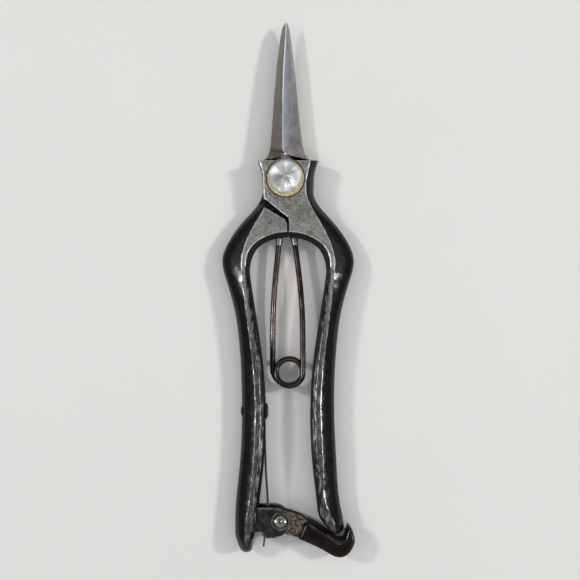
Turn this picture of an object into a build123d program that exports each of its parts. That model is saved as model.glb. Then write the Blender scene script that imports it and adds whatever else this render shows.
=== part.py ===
from build123d import *
import os

os.makedirs("parts", exist_ok=True)

# Pruning shears with slim blades: two forged levers lapped on a rivet, a torsion spring
# between them and a swinging hook that latches the handles together.
# Millimetres. The origin is on the pivot axis at the flat back face. +Y runs from the pivot
# to the blade tips, +Z from the back face to the front face. The shears are closed.

# ---- driving dimensions ----------------------------------------------------------------------
THICKNESS = 9.0           # front face to back face of the forged levers
MID = THICKNESS / 2       # height of the plane where the levers lap
LAP_CLEARANCE = 0.05      # each lapped face stands back this much from the mid-plane
CENTRE_X = 0.85           # centre line between the two handles
FRONT = 1                 # the half-thickness above the mid-plane
BACK = -1                 # the half-thickness below it
LEFT = -1                 # side of the handle that carries the latch
RIGHT = 1

RIVET_RADIUS = 3.0
RIVET_CLEARANCE = 0.05
RIVET_HEAD_RADIUS = 5.5
RIVET_HEAD_OFFSET = (0.0, 0.45)   # the head was formed by hand, a little off the axis
RIVET_TAIL_RADIUS = 4.3
RIVET_TAIL_DEPTH = 1.2
WASHER_RADIUS = 6.2
RECESS_RADIUS = 6.75
RECESS_DEPTH = 0.5
WASHER_THICKNESS = 0.55
WASHER_CHAMFER = 0.25

COIL_CENTRE = (1.3, -64.95)
COIL_RADIUS = 4.5         # to the middle of the wire
WIRE_RADIUS = 0.95
COIL_PITCH = 2.1
COIL_SPLIT_GAP = 9.0      # degrees of coil left open between the two halves of the spring
LEFT_SEAT = (-2.05, -20.0)
RIGHT_SEAT = (2.95, -20.0)
LEFT_LEG_MIDDLE = (-4.05, -42.0)  # the legs bow outwards through these points
RIGHT_LEG_MIDDLE = (5.48, -42.5)
ENTRY_RADIUS = 5.65       # bend that brings the left leg into the coil
SEAT_RADIUS = 1.2
SOCKET_RADIUS = 1.6
FERRULE_LENGTH = 2.1
FERRULE_MOUTH_RADIUS = 1.1
FERRULE_CLEARANCE = 0.03

LATCH_PIVOT = (-1.7, -114.4)
BRACKET_OUTER_HEIGHT = 6.0
BRACKET_SHEET = 1.0
TONGUE_THICKNESS = 3.7
HOOK_THICKNESS = 6.6
LATCH_PIN_RADIUS = 1.6
BRACKET_ROOT_X = -11.8    # floor of the notch in the handle that holds the bracket
BRACKET_NOTCH_DEPTH = 6.0
BRACKET_TOP_Y = -110.0
BRACKET_STEP_Y = -118.1
HOOK_ROUNDING = 1.0
LATCH_DOME_RADIUS = 2.65
LATCH_DOME_BASE = 7.9
LATCH_DOME_TOP = 9.5
LATCH_TAIL_RADIUS = 2.3
LATCH_TAIL_TIP_RADIUS = 1.38
LATCH_TAIL_RIM = 0.4
LATCH_TAIL_BOTTOM = 0.6
LATCH_WASHER_RADIUS = 3.2
DOME_RIM = 0.25           # upright rim under the domed heads of the small rivets

LEAF_THICKNESS = 0.6
LEAF_WIDTH = 3.4
LEAF_SEAT_X = -7.3        # flat ground on the left handle's inner wall
LEAF_SEAT_TOP = -72.8
LEAF_SEAT_LENGTH = 24.0
LEAF_SEAT_REACH = 5.0     # the flat clears everything this far in front of it
LEAF_RIVET_Y = -78.0
LEAF_RIVET_RADIUS = 1.1
LEAF_DOME_RADIUS = 2.7
LEAF_DOME_HEIGHT = 0.95
LEAF_TAIL_RADIUS = 1.7
LEAF_TAIL_TIP_RADIUS = 1.19
LEAF_TAIL_BREAK = 0.3     # bevel round the peened tail
LEAF_TAIL_X = -14.2
LEAF_TAIL_TIP_X = -15.1

HEAD_BOTTOM = THICKNESS + 0.1     # underside of the rivet head, on top of the washer
HEAD_RIM = HEAD_BOTTOM + 0.75
HEAD_TOP = HEAD_BOTTOM + 1.5

# ---- outlines of a lever, as (distance from the centre line, y) ------------------------------
# Each outline is given twice: at the mid-plane, where the forging is widest, and at the
# flat face. Between the two the sides follow a parabola.
SECTION_RISES = (0.0, 0.56, 1.0)  # heights of the lofted sections, as parts of half the thickness
OUTER_MID = [
    (10.0, -8.1), (14.6, -13.5), (19.7, -20.3), (22.2, -27.0), (20.9, -33.8), (18.1, -43.9),
    (16.3, -57.4), (15.6, -77.0), (16.5, -98.0), (17.7, -110.0),
]
OUTER_FACE = [
    (7.85, -9.7), (10.0, -13.4), (13.3, -19.6), (15.5, -26.6), (15.2, -33.8), (14.1, -43.9),
    (12.3, -57.4), (10.9, -77.0), (11.8, -98.0), (13.3, -110.0),
]
INNER_MID = [
    (0.1, -19.4), (3.7, -19.8), (7.6, -21.2), (10.4, -23.3), (12.1, -26.4), (12.9, -30.2),
    (12.6, -33.8), (11.05, -43.9), (9.0, -57.4), (7.7, -70.9), (7.5, -83.0), (8.3, -97.0),
    (9.8, -110.0),
]
INNER_FACE = [
    (0.1, -17.9), (3.6, -18.2), (7.8, -19.6), (11.4, -22.0), (13.6, -25.4), (14.1, -29.4),
    (13.9, -33.8), (12.6, -43.9), (10.7, -57.4), (9.4, -70.9), (9.3, -83.0), (10.3, -97.0),
    (11.8, -110.0),
]
# The left handle ends in a long rounded point, the right one in a short blunt one.
END_MID = {
    LEFT: [(17.9, -118.5), (17.1, -122.2), (14.8, -125.5), (12.8, -125.3), (11.5, -120.5)],
    RIGHT: [(18.8, -116.8), (18.2, -118.3), (16.3, -119.3), (14.2, -118.2), (11.1, -114.5)],
}
END_FACE = {
    LEFT: [(14.6, -118.5), (14.7, -121.0), (14.2, -122.8), (13.5, -122.5), (12.9, -120.0)],
    RIGHT: [(15.7, -116.2), (16.0, -117.2), (15.7, -117.9), (14.7, -117.3), (12.8, -115.0)],
}
STEP_MID = [(10.0, -8.1), (0.85, -13.9), (0.1, -14.9), (0.1, -19.4)]
STEP_FACE = [(7.85, -9.7), (0.85, -13.9), (0.1, -14.9), (0.1, -17.9)]
HEAD_MID = [(10.2, 6.3), (9.3, 3.4), (8.6, 0.0), (8.5, -3.4), (9.15, -6.6), (10.0, -8.1)]
HEAD_FACE = [(7.5, 5.8), (6.45, 1.0), (6.0, -2.0), (6.2, -5.0), (6.95, -7.8), (7.85, -9.7)]
FAR_EDGE_MID = [(-8.35, -7.0), (-8.55, -4.6), (-8.75, 0.5), (-9.3, 3.6), (-10.2, 6.3)]
FAR_EDGE_FACE = [(-7.9, -6.8), (-8.05, -4.6), (-8.25, 0.5), (-8.8, 3.6), (-9.6, 5.8)]
LAP_EDGE_MID = [(0.1, -19.4), (0.1, -14.9), (-0.2, -12.9), (-8.35, -7.0)]
LAP_EDGE_FACE = [(0.1, -17.9), (0.1, -14.9), (-0.2, -12.9), (-7.9, -6.8)]
LAP_AREA = [
    (13, 9), (13, -8.1), (10.0, -8.1), (0.85, -13.9), (0.1, -14.9), (0.1, -21), (-13, -21),
    (-13, 9), (13, 9),
]
SHOULDER_TANGENT_MID = (0.54, -0.84)
SHOULDER_TANGENT_FACE = (0.45, -0.89)

# Blade sections along y: (y, cutting edge x, spine x, thickness at the spine, bevel width).
FRONT_BLADE = [
    (5.0, -0.75, -5.7, 3.7, 0.3), (12.0, -0.82, -4.9, 3.4, 0.3), (20.0, -0.85, -4.3, 3.0, 0.35),
    (28.0, -0.75, -3.75, 2.6, 0.6), (38.0, -0.45, -2.85, 2.1, 0.9), (46.0, 0.05, -1.95, 1.6, 0.9),
    (51.0, 0.28, -1.15, 1.0, 0.6), (53.1, 0.34, 0.05, 0.35, 0.1),
]
BACK_BLADE = [
    (5.0, -1.5, 6.6, 3.7, 0.3), (12.0, -1.5, 5.65, 3.4, 0.3), (20.0, -1.45, 4.7, 3.0, 0.35),
    (28.0, -1.35, 3.95, 2.6, 0.6), (38.0, -1.05, 2.95, 2.1, 0.9), (46.0, -0.5, 2.05, 1.6, 0.9),
    (51.0, -0.2, 1.35, 1.0, 0.6), (53.1, 0.15, 0.5, 0.35, 0.1),
]
FRONT_ROOT = [(-6.9, 5.9), (-5.9, 7.6), (-5.3, 9.6), (-4.95, 12.0)]
BACK_ROOT = [(8.6, 5.9), (7.0, 7.6), (6.2, 9.6), (5.65, 12.0)]
FRONT_HEEL = [(1.15, 5.5), (1.05, 7.2), (0.7, 8.2), (-0.3, 9.2), (-0.8, 10.6)]
BACK_HEEL = [(-3.2, 5.5), (-3.1, 7.2), (-2.75, 8.2), (-1.9, 9.2), (-1.5, 10.6)]
SPINE_BREAK = 0.35        # the spine's outer corner is broken this much
HOLLOW_DEPTH = 0.25       # hollow grinding of the inner face
HOLLOW_WIDTH = 4.0        # narrower blades are hollowed less, in proportion
BEVEL_SLOPE = 0.9
ROOT_THICKNESS = 3.4
HEEL_THICKNESS = 1.7

# ---- latch outlines --------------------------------------------------------------------------
BRACKET_NOSE = [
    (-3.6, -110.0), (-0.6, -111.1), (1.3, -113.8), (1.3, -116.4), (-0.5, -118.8),
    (-3.4, -120.0), (-7.0, -120.2),
]
BRACKET_FOOT = [(-7.0, -120.2), (-7.7, -119.3), (-7.7, -118.1)]
TONGUE_HEEL = [(-2.9, -117.85), (-5.3, -114.4), (-1.9, -110.8)]
TONGUE_BACK = [(-1.9, -110.8), (1.1, -111.6), (6.6, -114.1), (9.5, -117.5)]
TONGUE_FRONT = [(9.5, -117.5), (6.0, -120.7), (0.9, -119.5), (-2.9, -117.85)]
CLAW_INSIDE = [
    (6.5, -115.4), (7.6, -114.8), (9.0, -115.3), (12.7, -117.7), (16.4, -120.2),
    (17.8, -121.1), (19.0, -121.1), (19.95, -120.0), (20.5, -118.3), (20.95, -116.3),
]
CLAW_OUTSIDE = [
    (20.95, -116.3), (22.5, -118.4), (23.2, -121.2), (22.2, -124.0), (19.8, -126.3),
    (17.6, -126.6), (13.3, -124.6), (8.5, -122.2), (4.3, -120.4),
]
LEAF_TOP = (-7.3, -73.0)
LEAF_BACK = [
    (-7.3, -86.0), (-7.15, -92.0), (-6.9, -98.5), (-6.35, -108.0),
    (-6.35, -112.5), (-7.0, -118.0), (-7.7, -123.3),
]
LEAF_END_TANGENT = (-0.13, -1)


def placed(side, points):
    """Points of a lever outline moved to their side of the centre line."""
    return [(CENTRE_X + side * across, y) for across, y in points]


def between(mid_points, face_points, share):
    """An outline part of the way from the mid-plane outline to the face outline."""
    return [
        (m[0] + share * (f[0] - m[0]), m[1] + share * (f[1] - m[1]))
        for m, f in zip(mid_points, face_points)
    ]


def half_lever(side, half, with_lap):
    """Half the thickness of one lever's bow and handle, with its lap plate or without."""
    with BuildPart() as forging:
        for rise in SECTION_RISES:
            share = rise**2
            outer = placed(side, between(OUTER_MID, OUTER_FACE, share))
            end = placed(side, between(END_MID[side], END_FACE[side], share))
            inner = placed(side, between(INNER_MID, INNER_FACE, share))
            inner.append(end[-1])
            outer.append(end[0])
            lean = between([SHOULDER_TANGENT_MID], [SHOULDER_TANGENT_FACE], share)[0]
            shoulder_tangent = (side * lean[0], lean[1])
            toe_tangent = (0.0, -1.0)
            heel_tangent = (end[-1][0] - end[-2][0], end[-1][1] - end[-2][1])
            with BuildSketch(Plane.XY.offset(MID + half * rise * MID)):
                with BuildLine():
                    Spline(*outer, tangents=[shoulder_tangent, toe_tangent])
                    Spline(*end, tangents=[toe_tangent, heel_tangent])
                    Spline(*inner)
                    if with_lap:
                        head = placed(side, between(HEAD_MID, HEAD_FACE, share))
                        far_edge = placed(side, between(FAR_EDGE_MID, FAR_EDGE_FACE, share))
                        lap_edge = placed(side, between(LAP_EDGE_MID, LAP_EDGE_FACE, share))
                        horn_tangent = (head[1][0] - head[0][0], head[1][1] - head[0][1])
                        Spline(*head, tangents=[horn_tangent, shoulder_tangent])
                        Polyline(*lap_edge)
                        Spline(*far_edge)
                        Line(far_edge[-1], head[0])
                    else:
                        Polyline(*placed(side, between(STEP_MID, STEP_FACE, share)))
                make_face()
        loft()
    return forging.part


def blade(sections, half):
    """A blade from its cross-sections: flat spine, wide outer facet, narrow sharpened bevel."""
    spine_side = 1 if sections[0][2] > sections[0][1] else -1
    inner_face = MID + half * LAP_CLEARANCE
    with BuildPart() as tapered:
        for y, edge, spine, thickness, bevel in sections:
            hollow = HOLLOW_DEPTH * min(1.0, abs(spine - edge) / HOLLOW_WIDTH)
            corner = min(SPINE_BREAK, thickness / 3)
            with BuildSketch(Plane.XZ.offset(-y)):
                with BuildLine():
                    ThreePointArc(
                        (edge, inner_face),
                        ((edge + spine) / 2, inner_face + half * hollow),
                        (spine, inner_face),
                    )
                    Polyline(
                        (spine, inner_face),
                        (spine, inner_face + half * (thickness - corner)),
                        (spine - spine_side * corner, inner_face + half * thickness),
                        (edge + spine_side * bevel, inner_face + half * bevel * BEVEL_SLOPE),
                        (edge, inner_face),
                    )
                make_face()
        loft()
    return tapered.part


def blade_base(curve, inner_x, thickness, half):
    """The small flare or heel where a blade runs into its lap plate."""
    with BuildPart() as base:
        with BuildSketch(Plane.XY.offset(MID + half * LAP_CLEARANCE)):
            with BuildLine():
                Spline(*curve)
                Polyline(curve[-1], (inner_x, curve[-1][1]), (inner_x, curve[0][1]), curve[0])
            make_face()
        extrude(amount=half * thickness)
    return base.part


def lap_relief(side, half):
    """A thin slab, over the whole lap plate, that takes it back from the mid-plane."""
    with BuildPart() as slab:
        with BuildSketch(Plane.XY.offset(MID)):
            with BuildLine():
                Polyline(*placed(side, LAP_AREA))
            make_face()
        extrude(amount=half * LAP_CLEARANCE)
    return slab.part


def socket(seat):
    """The round hollow in the arch that takes one end of the spring."""
    with BuildPart() as hollow:
        with Locations((seat[0], seat[1], MID)):
            Sphere(SOCKET_RADIUS)
    return hollow.part


# ---- lower lever: left handle and the back blade ---------------------------------------------
with BuildPart() as lower_lever:
    add(half_lever(LEFT, BACK, with_lap=True))
    add(half_lever(LEFT, FRONT, with_lap=False))
    add(lap_relief(LEFT, BACK), mode=Mode.SUBTRACT)
    add(blade(BACK_BLADE, BACK))
    add(blade_base(BACK_ROOT, inner_x=3.0, thickness=ROOT_THICKNESS, half=BACK))
    add(blade_base(BACK_HEEL, inner_x=0.0, thickness=HEEL_THICKNESS, half=BACK))
    with BuildSketch(Plane.XY):
        Circle(RIVET_RADIUS)
    extrude(amount=THICKNESS, mode=Mode.SUBTRACT)
    with Locations((0, 0, RIVET_TAIL_DEPTH / 2)):
        Cone(RIVET_TAIL_RADIUS, RIVET_RADIUS, RIVET_TAIL_DEPTH, mode=Mode.SUBTRACT)
    add(socket(LEFT_SEAT), mode=Mode.SUBTRACT)
    with Locations((LEAF_SEAT_X, LEAF_SEAT_TOP, MID)):
        Box(
            LEAF_SEAT_REACH, LEAF_SEAT_LENGTH, 2 * THICKNESS,
            align=(Align.MIN, Align.MAX, Align.CENTER), mode=Mode.SUBTRACT,
        )
    with Locations((BRACKET_ROOT_X, BRACKET_TOP_Y, MID)):
        Box(
            BRACKET_NOTCH_DEPTH, BRACKET_TOP_Y - BRACKET_STEP_Y, BRACKET_OUTER_HEIGHT,
            align=(Align.MIN, Align.MAX, Align.CENTER), mode=Mode.SUBTRACT,
        )
    with BuildSketch(Plane.YZ.offset(LEAF_SEAT_X)):
        with Locations((LEAF_RIVET_Y, MID)):
            Circle(LEAF_RIVET_RADIUS)
    extrude(amount=LEAF_TAIL_X - LEAF_SEAT_X, mode=Mode.SUBTRACT)
    with BuildSketch(Plane.YZ.offset(LEAF_TAIL_X)):
        with Locations((LEAF_RIVET_Y, MID)):
            Circle(LEAF_TAIL_RADIUS)
    extrude(amount=-THICKNESS / 2, mode=Mode.SUBTRACT)
lower_lever.part.label = "lower_lever"
export_step(lower_lever.part, "parts/lower_lever.step")

# ---- upper lever: right handle and the front blade -------------------------------------------
with BuildPart() as upper_lever:
    add(half_lever(RIGHT, FRONT, with_lap=True))
    add(half_lever(RIGHT, BACK, with_lap=False))
    add(lap_relief(RIGHT, FRONT), mode=Mode.SUBTRACT)
    add(blade(FRONT_BLADE, FRONT))
    add(blade_base(FRONT_ROOT, inner_x=-3.0, thickness=ROOT_THICKNESS, half=FRONT))
    add(blade_base(FRONT_HEEL, inner_x=-2.0, thickness=HEEL_THICKNESS, half=FRONT))
    with BuildSketch(Plane.XY):
        Circle(RIVET_RADIUS + RIVET_CLEARANCE)
    extrude(amount=THICKNESS, mode=Mode.SUBTRACT)
    with BuildSketch(Plane.XY.offset(THICKNESS)):
        Circle(RECESS_RADIUS)
    extrude(amount=-RECESS_DEPTH, mode=Mode.SUBTRACT)
    add(socket(RIGHT_SEAT), mode=Mode.SUBTRACT)
upper_lever.part.label = "upper_lever"
export_step(upper_lever.part, "parts/upper_lever.step")

# ---- pivot rivet: countersunk tail, shaft and a low domed head -------------------------------
with BuildPart() as pivot_rivet:
    with BuildSketch(Plane.XY):
        Circle(RIVET_RADIUS)
    extrude(amount=HEAD_BOTTOM)
    with Locations((0, 0, RIVET_TAIL_DEPTH / 2)):
        Cone(RIVET_TAIL_RADIUS, RIVET_RADIUS, RIVET_TAIL_DEPTH)
    with BuildSketch(Plane(origin=(*RIVET_HEAD_OFFSET, 0), x_dir=(1, 0, 0), z_dir=(0, -1, 0))):
        with BuildLine():
            Polyline(
                (0, HEAD_TOP), (0, HEAD_BOTTOM),
                (RIVET_HEAD_RADIUS, HEAD_BOTTOM), (RIVET_HEAD_RADIUS, HEAD_RIM),
            )
            TangentArc((0, HEAD_TOP), (RIVET_HEAD_RADIUS, HEAD_RIM), tangent=(1, 0))
        make_face()
    revolve(axis=Axis((*RIVET_HEAD_OFFSET, 0), (0, 0, 1)))
pivot_rivet.part.label = "pivot_rivet"
export_step(pivot_rivet.part, "parts/pivot_rivet.step")

# ---- pivot washer: brass, in the recess under the rivet head ---------------------------------
with BuildPart() as pivot_washer:
    with BuildSketch(Plane.XY.offset(HEAD_BOTTOM - WASHER_THICKNESS)):
        Circle(WASHER_RADIUS)
        Circle(RIVET_RADIUS, mode=Mode.SUBTRACT)
    extrude(amount=WASHER_THICKNESS)
    chamfer(pivot_washer.edges().group_by(Axis.Z)[-1].sort_by(SortBy.RADIUS)[-1], WASHER_CHAMFER)
pivot_washer.part.label = "pivot_washer"
export_step(pivot_washer.part, "parts/pivot_washer.step")

# ---- torsion spring: two arms that share a coil of one and a half turns ----------------------
LEFT_ENTRY = (COIL_CENTRE[0] - ENTRY_RADIUS, COIL_CENTRE[1] - COIL_RADIUS + ENTRY_RADIUS)
ENTRY_CENTRE_Y = LEFT_ENTRY[1]
DIAGONAL = ENTRY_RADIUS * 0.5**0.5
DEGREE_RISE = COIL_PITCH / 360
HALF_SWEEP = 270          # degrees of winding on each side of the mid-plane
LEFT_Z = MID - HALF_SWEEP * DEGREE_RISE
RIGHT_Z = MID + HALF_SWEEP * DEGREE_RISE


def coil_arc(start_angle, sweep_angle):
    """Part of the coil, rising anticlockwise; it passes the mid-plane at 90 degrees."""
    height = sweep_angle * DEGREE_RISE
    start_z = MID + (start_angle - 90) * DEGREE_RISE
    turn = Helix(COIL_PITCH, height, COIL_RADIUS, mode=Mode.PRIVATE)
    return Pos(*COIL_CENTRE, start_z) * Rot(0, 0, start_angle) * turn


with BuildLine() as left_wire:
    left_leg = ThreePointArc(
        (*LEFT_SEAT, MID),
        (*LEFT_LEG_MIDDLE, (MID + LEFT_Z) / 2),
        (*LEFT_ENTRY, LEFT_Z),
    )
    ThreePointArc(
        (*LEFT_ENTRY, LEFT_Z),
        (COIL_CENTRE[0] - DIAGONAL, ENTRY_CENTRE_Y - DIAGONAL, LEFT_Z + 45 * DEGREE_RISE),
        (COIL_CENTRE[0], COIL_CENTRE[1] - COIL_RADIUS, LEFT_Z + 90 * DEGREE_RISE),
    )
    add(coil_arc(-90, 180 - COIL_SPLIT_GAP / 2))

with BuildLine() as right_wire:
    right_leg = ThreePointArc(
        (*RIGHT_SEAT, MID),
        (*RIGHT_LEG_MIDDLE, (MID + RIGHT_Z) / 2),
        (COIL_CENTRE[0] + COIL_RADIUS, COIL_CENTRE[1], RIGHT_Z),
    )
    add(coil_arc(90 + COIL_SPLIT_GAP / 2, 270 - COIL_SPLIT_GAP / 2))

with BuildPart() as spring_left_arm:
    with BuildSketch(Plane(origin=left_leg @ 0, z_dir=left_leg % 0)):
        Circle(WIRE_RADIUS)
    sweep(path=left_wire.wire())
spring_left_arm.part.label = "spring_left_arm"
export_step(spring_left_arm.part, "parts/spring_left_arm.step")

with BuildPart() as spring_right_arm:
    with BuildSketch(Plane(origin=right_leg @ 0, z_dir=right_leg % 0)):
        Circle(WIRE_RADIUS)
    sweep(path=right_wire.wire())
spring_right_arm.part.label = "spring_right_arm"
export_step(spring_right_arm.part, "parts/spring_right_arm.step")


# ---- spring ferrules: round-nosed sleeves on the two ends of the wire ------------------------
def ferrule(leg):
    """A tapered sleeve with a ball nose, along the start of a spring leg."""
    with BuildPart(Plane(origin=leg @ 0, z_dir=leg % 0)) as sleeve:
        Sphere(SEAT_RADIUS)
        Cone(
            SEAT_RADIUS, FERRULE_MOUTH_RADIUS, FERRULE_LENGTH,
            align=(Align.CENTER, Align.CENTER, Align.MIN),
        )
        Cylinder(
            WIRE_RADIUS + FERRULE_CLEARANCE, FERRULE_LENGTH + 1,
            align=(Align.CENTER, Align.CENTER, Align.MIN), mode=Mode.SUBTRACT,
        )
    return sleeve.part


with BuildPart() as left_spring_ferrule:
    add(ferrule(left_leg))
left_spring_ferrule.part.label = "left_spring_ferrule"
export_step(left_spring_ferrule.part, "parts/left_spring_ferrule.step")

with BuildPart() as right_spring_ferrule:
    add(ferrule(right_leg))
right_spring_ferrule.part.label = "right_spring_ferrule"
export_step(right_spring_ferrule.part, "parts/right_spring_ferrule.step")

# ---- latch bracket: a folded sheet let into the left handle ----------------------------------
BRACKET_BOTTOM_Z = MID - BRACKET_OUTER_HEIGHT / 2
BRACKET_TOP_Z = MID + BRACKET_OUTER_HEIGHT / 2
with BuildPart() as latch_bracket:
    with BuildSketch(
        Plane.XY.offset(BRACKET_BOTTOM_Z), Plane.XY.offset(BRACKET_TOP_Z - BRACKET_SHEET)
    ):
        with BuildLine():
            Polyline(
                *BRACKET_FOOT, (BRACKET_ROOT_X, BRACKET_STEP_Y), (BRACKET_ROOT_X, BRACKET_TOP_Y),
                BRACKET_NOSE[0],
            )
            Spline(*BRACKET_NOSE, tangents=[(1, 0), (-1, 0)])
        make_face()
    extrude(amount=BRACKET_SHEET)
    with Locations((BRACKET_ROOT_X, BRACKET_TOP_Y, MID)):
        Box(
            BRACKET_SHEET, BRACKET_TOP_Y - BRACKET_STEP_Y, BRACKET_OUTER_HEIGHT,
            align=(Align.MIN, Align.MAX, Align.CENTER),
        )
    with BuildSketch(Plane.XY):
        with Locations(LATCH_PIVOT):
            Circle(LATCH_PIN_RADIUS)
    extrude(amount=THICKNESS, mode=Mode.SUBTRACT)
latch_bracket.part.label = "latch_bracket"
export_step(latch_bracket.part, "parts/latch_bracket.step")

# ---- latch hook: a flat tongue in the bracket and a thick hooked arm -------------------------
def hook_arm():
    """The thick arm whose claw reaches round the end of the right handle."""
    with BuildPart() as arm:
        with BuildSketch(Plane.XY.offset(MID - HOOK_THICKNESS / 2)):
            with BuildLine():
                Spline(*CLAW_INSIDE)
                Spline(*CLAW_OUTSIDE)
                Line(CLAW_OUTSIDE[-1], CLAW_INSIDE[0])
            make_face()
        extrude(amount=HOOK_THICKNESS)
        fillet(arm.edges().group_by(Axis.Z)[-1] + arm.edges().group_by(Axis.Z)[0], HOOK_ROUNDING)
    return arm.part


with BuildPart() as latch_hook:
    with BuildSketch(Plane.XY.offset(MID - TONGUE_THICKNESS / 2)):
        with BuildLine():
            ThreePointArc(*TONGUE_HEEL)
            Spline(*TONGUE_BACK)
            Polyline(*TONGUE_FRONT)
        make_face()
        with Locations(LATCH_PIVOT):
            Circle(LATCH_PIN_RADIUS + RIVET_CLEARANCE, mode=Mode.SUBTRACT)
    extrude(amount=TONGUE_THICKNESS)
    add(hook_arm())
latch_hook.part.label = "latch_hook"
export_step(latch_hook.part, "parts/latch_hook.step")

# ---- latch rivet and its washer --------------------------------------------------------------
with BuildPart() as latch_rivet:
    with BuildSketch(Plane(origin=(*LATCH_PIVOT, 0), x_dir=(1, 0, 0), z_dir=(0, -1, 0))):
        with BuildLine():
            Polyline(
                (0, LATCH_DOME_TOP), (0, LATCH_TAIL_BOTTOM),
                (LATCH_TAIL_TIP_RADIUS, LATCH_TAIL_BOTTOM),
                (LATCH_TAIL_RADIUS, BRACKET_BOTTOM_Z - LATCH_TAIL_RIM),
                (LATCH_TAIL_RADIUS, BRACKET_BOTTOM_Z),
                (LATCH_PIN_RADIUS, BRACKET_BOTTOM_Z), (LATCH_PIN_RADIUS, LATCH_DOME_BASE),
                (LATCH_DOME_RADIUS, LATCH_DOME_BASE),
                (LATCH_DOME_RADIUS, LATCH_DOME_BASE + DOME_RIM),
            )
            TangentArc(
                (0, LATCH_DOME_TOP), (LATCH_DOME_RADIUS, LATCH_DOME_BASE + DOME_RIM),
                tangent=(1, 0),
            )
        make_face()
    revolve(axis=Axis((*LATCH_PIVOT, 0), (0, 0, 1)))
latch_rivet.part.label = "latch_rivet"
export_step(latch_rivet.part, "parts/latch_rivet.step")

with BuildPart() as latch_washer:
    with BuildSketch(Plane.XY.offset(BRACKET_TOP_Z)):
        with Locations(LATCH_PIVOT):
            Circle(LATCH_WASHER_RADIUS)
            Circle(LATCH_PIN_RADIUS, mode=Mode.SUBTRACT)
    extrude(amount=LATCH_DOME_BASE - BRACKET_TOP_Z)
latch_washer.part.label = "latch_washer"
export_step(latch_washer.part, "parts/latch_washer.step")

# ---- leaf spring: a strip riveted to the left handle that bears on the hook's heel -----------
with BuildPart() as leaf_spring:
    with BuildSketch(Plane.XY.offset(MID - LEAF_WIDTH / 2)):
        with BuildLine():
            for offset in (0, LEAF_THICKNESS):
                face = [(x + offset, y) for x, y in LEAF_BACK]
                Line((LEAF_TOP[0] + offset, LEAF_TOP[1]), face[0])
                Spline(*face, tangents=[(0, -1), LEAF_END_TANGENT])
            Line(LEAF_TOP, (LEAF_TOP[0] + LEAF_THICKNESS, LEAF_TOP[1]))
            Line(LEAF_BACK[-1], (LEAF_BACK[-1][0] + LEAF_THICKNESS, LEAF_BACK[-1][1]))
        make_face()
    extrude(amount=LEAF_WIDTH)
    with BuildSketch(Plane.YZ.offset(LEAF_SEAT_X)):
        with Locations((LEAF_RIVET_Y, MID)):
            Circle(LEAF_RIVET_RADIUS)
    extrude(amount=LEAF_THICKNESS, mode=Mode.SUBTRACT)
leaf_spring.part.label = "leaf_spring"
export_step(leaf_spring.part, "parts/leaf_spring.step")

# ---- leaf rivet: through the handle, domed on the leaf and peened outside --------------------
LEAF_FACE_X = LEAF_SEAT_X + LEAF_THICKNESS
with BuildPart() as leaf_rivet:
    with BuildSketch(Plane.XY.offset(MID)):
        with BuildLine():
            Polyline(
                (LEAF_FACE_X + LEAF_DOME_HEIGHT, LEAF_RIVET_Y), (LEAF_TAIL_TIP_X, LEAF_RIVET_Y),
                (LEAF_TAIL_TIP_X, LEAF_RIVET_Y + LEAF_TAIL_TIP_RADIUS),
                (LEAF_TAIL_TIP_X + LEAF_TAIL_BREAK, LEAF_RIVET_Y + LEAF_TAIL_RADIUS),
                (LEAF_TAIL_X, LEAF_RIVET_Y + LEAF_TAIL_RADIUS),
                (LEAF_TAIL_X, LEAF_RIVET_Y + LEAF_RIVET_RADIUS),
                (LEAF_FACE_X, LEAF_RIVET_Y + LEAF_RIVET_RADIUS),
                (LEAF_FACE_X, LEAF_RIVET_Y + LEAF_DOME_RADIUS),
                (LEAF_FACE_X + DOME_RIM, LEAF_RIVET_Y + LEAF_DOME_RADIUS),
            )
            TangentArc(
                (LEAF_FACE_X + LEAF_DOME_HEIGHT, LEAF_RIVET_Y),
                (LEAF_FACE_X + DOME_RIM, LEAF_RIVET_Y + LEAF_DOME_RADIUS),
                tangent=(0, 1),
            )
        make_face()
    revolve(axis=Axis((0, LEAF_RIVET_Y, MID), (1, 0, 0)))
leaf_rivet.part.label = "leaf_rivet"
export_step(leaf_rivet.part, "parts/leaf_rivet.step")
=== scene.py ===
import math

import bmesh
import bpy
import numpy as np
from mathutils import Matrix, Vector


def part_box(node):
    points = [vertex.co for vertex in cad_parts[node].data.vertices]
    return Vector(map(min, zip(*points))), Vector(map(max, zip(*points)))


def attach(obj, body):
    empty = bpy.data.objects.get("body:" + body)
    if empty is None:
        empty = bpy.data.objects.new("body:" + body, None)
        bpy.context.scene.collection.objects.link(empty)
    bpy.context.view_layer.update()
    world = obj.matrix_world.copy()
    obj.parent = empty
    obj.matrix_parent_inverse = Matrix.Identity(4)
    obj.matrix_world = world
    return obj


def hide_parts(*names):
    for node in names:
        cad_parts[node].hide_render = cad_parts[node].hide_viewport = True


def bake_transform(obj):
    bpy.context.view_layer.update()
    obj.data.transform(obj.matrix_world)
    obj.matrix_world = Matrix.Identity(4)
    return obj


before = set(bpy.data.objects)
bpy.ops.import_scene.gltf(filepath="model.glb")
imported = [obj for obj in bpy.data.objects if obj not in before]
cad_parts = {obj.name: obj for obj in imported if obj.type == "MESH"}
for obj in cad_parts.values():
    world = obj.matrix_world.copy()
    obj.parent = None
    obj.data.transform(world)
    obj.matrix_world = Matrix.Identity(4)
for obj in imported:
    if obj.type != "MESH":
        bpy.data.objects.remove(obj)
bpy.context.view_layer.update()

# Pruning shears. Every length in the shape code is in millimetres in the frame's own axes, and
# becomes metres when a mesh is made: +Y runs to the blade tips, +Z from the back face to the front.
MM = 0.001


def centre_of(node):
    """The middle of a CAD node's box, in millimetres."""
    low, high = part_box(node)
    return (Vector(low) + Vector(high)) / 2 / MM


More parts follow.
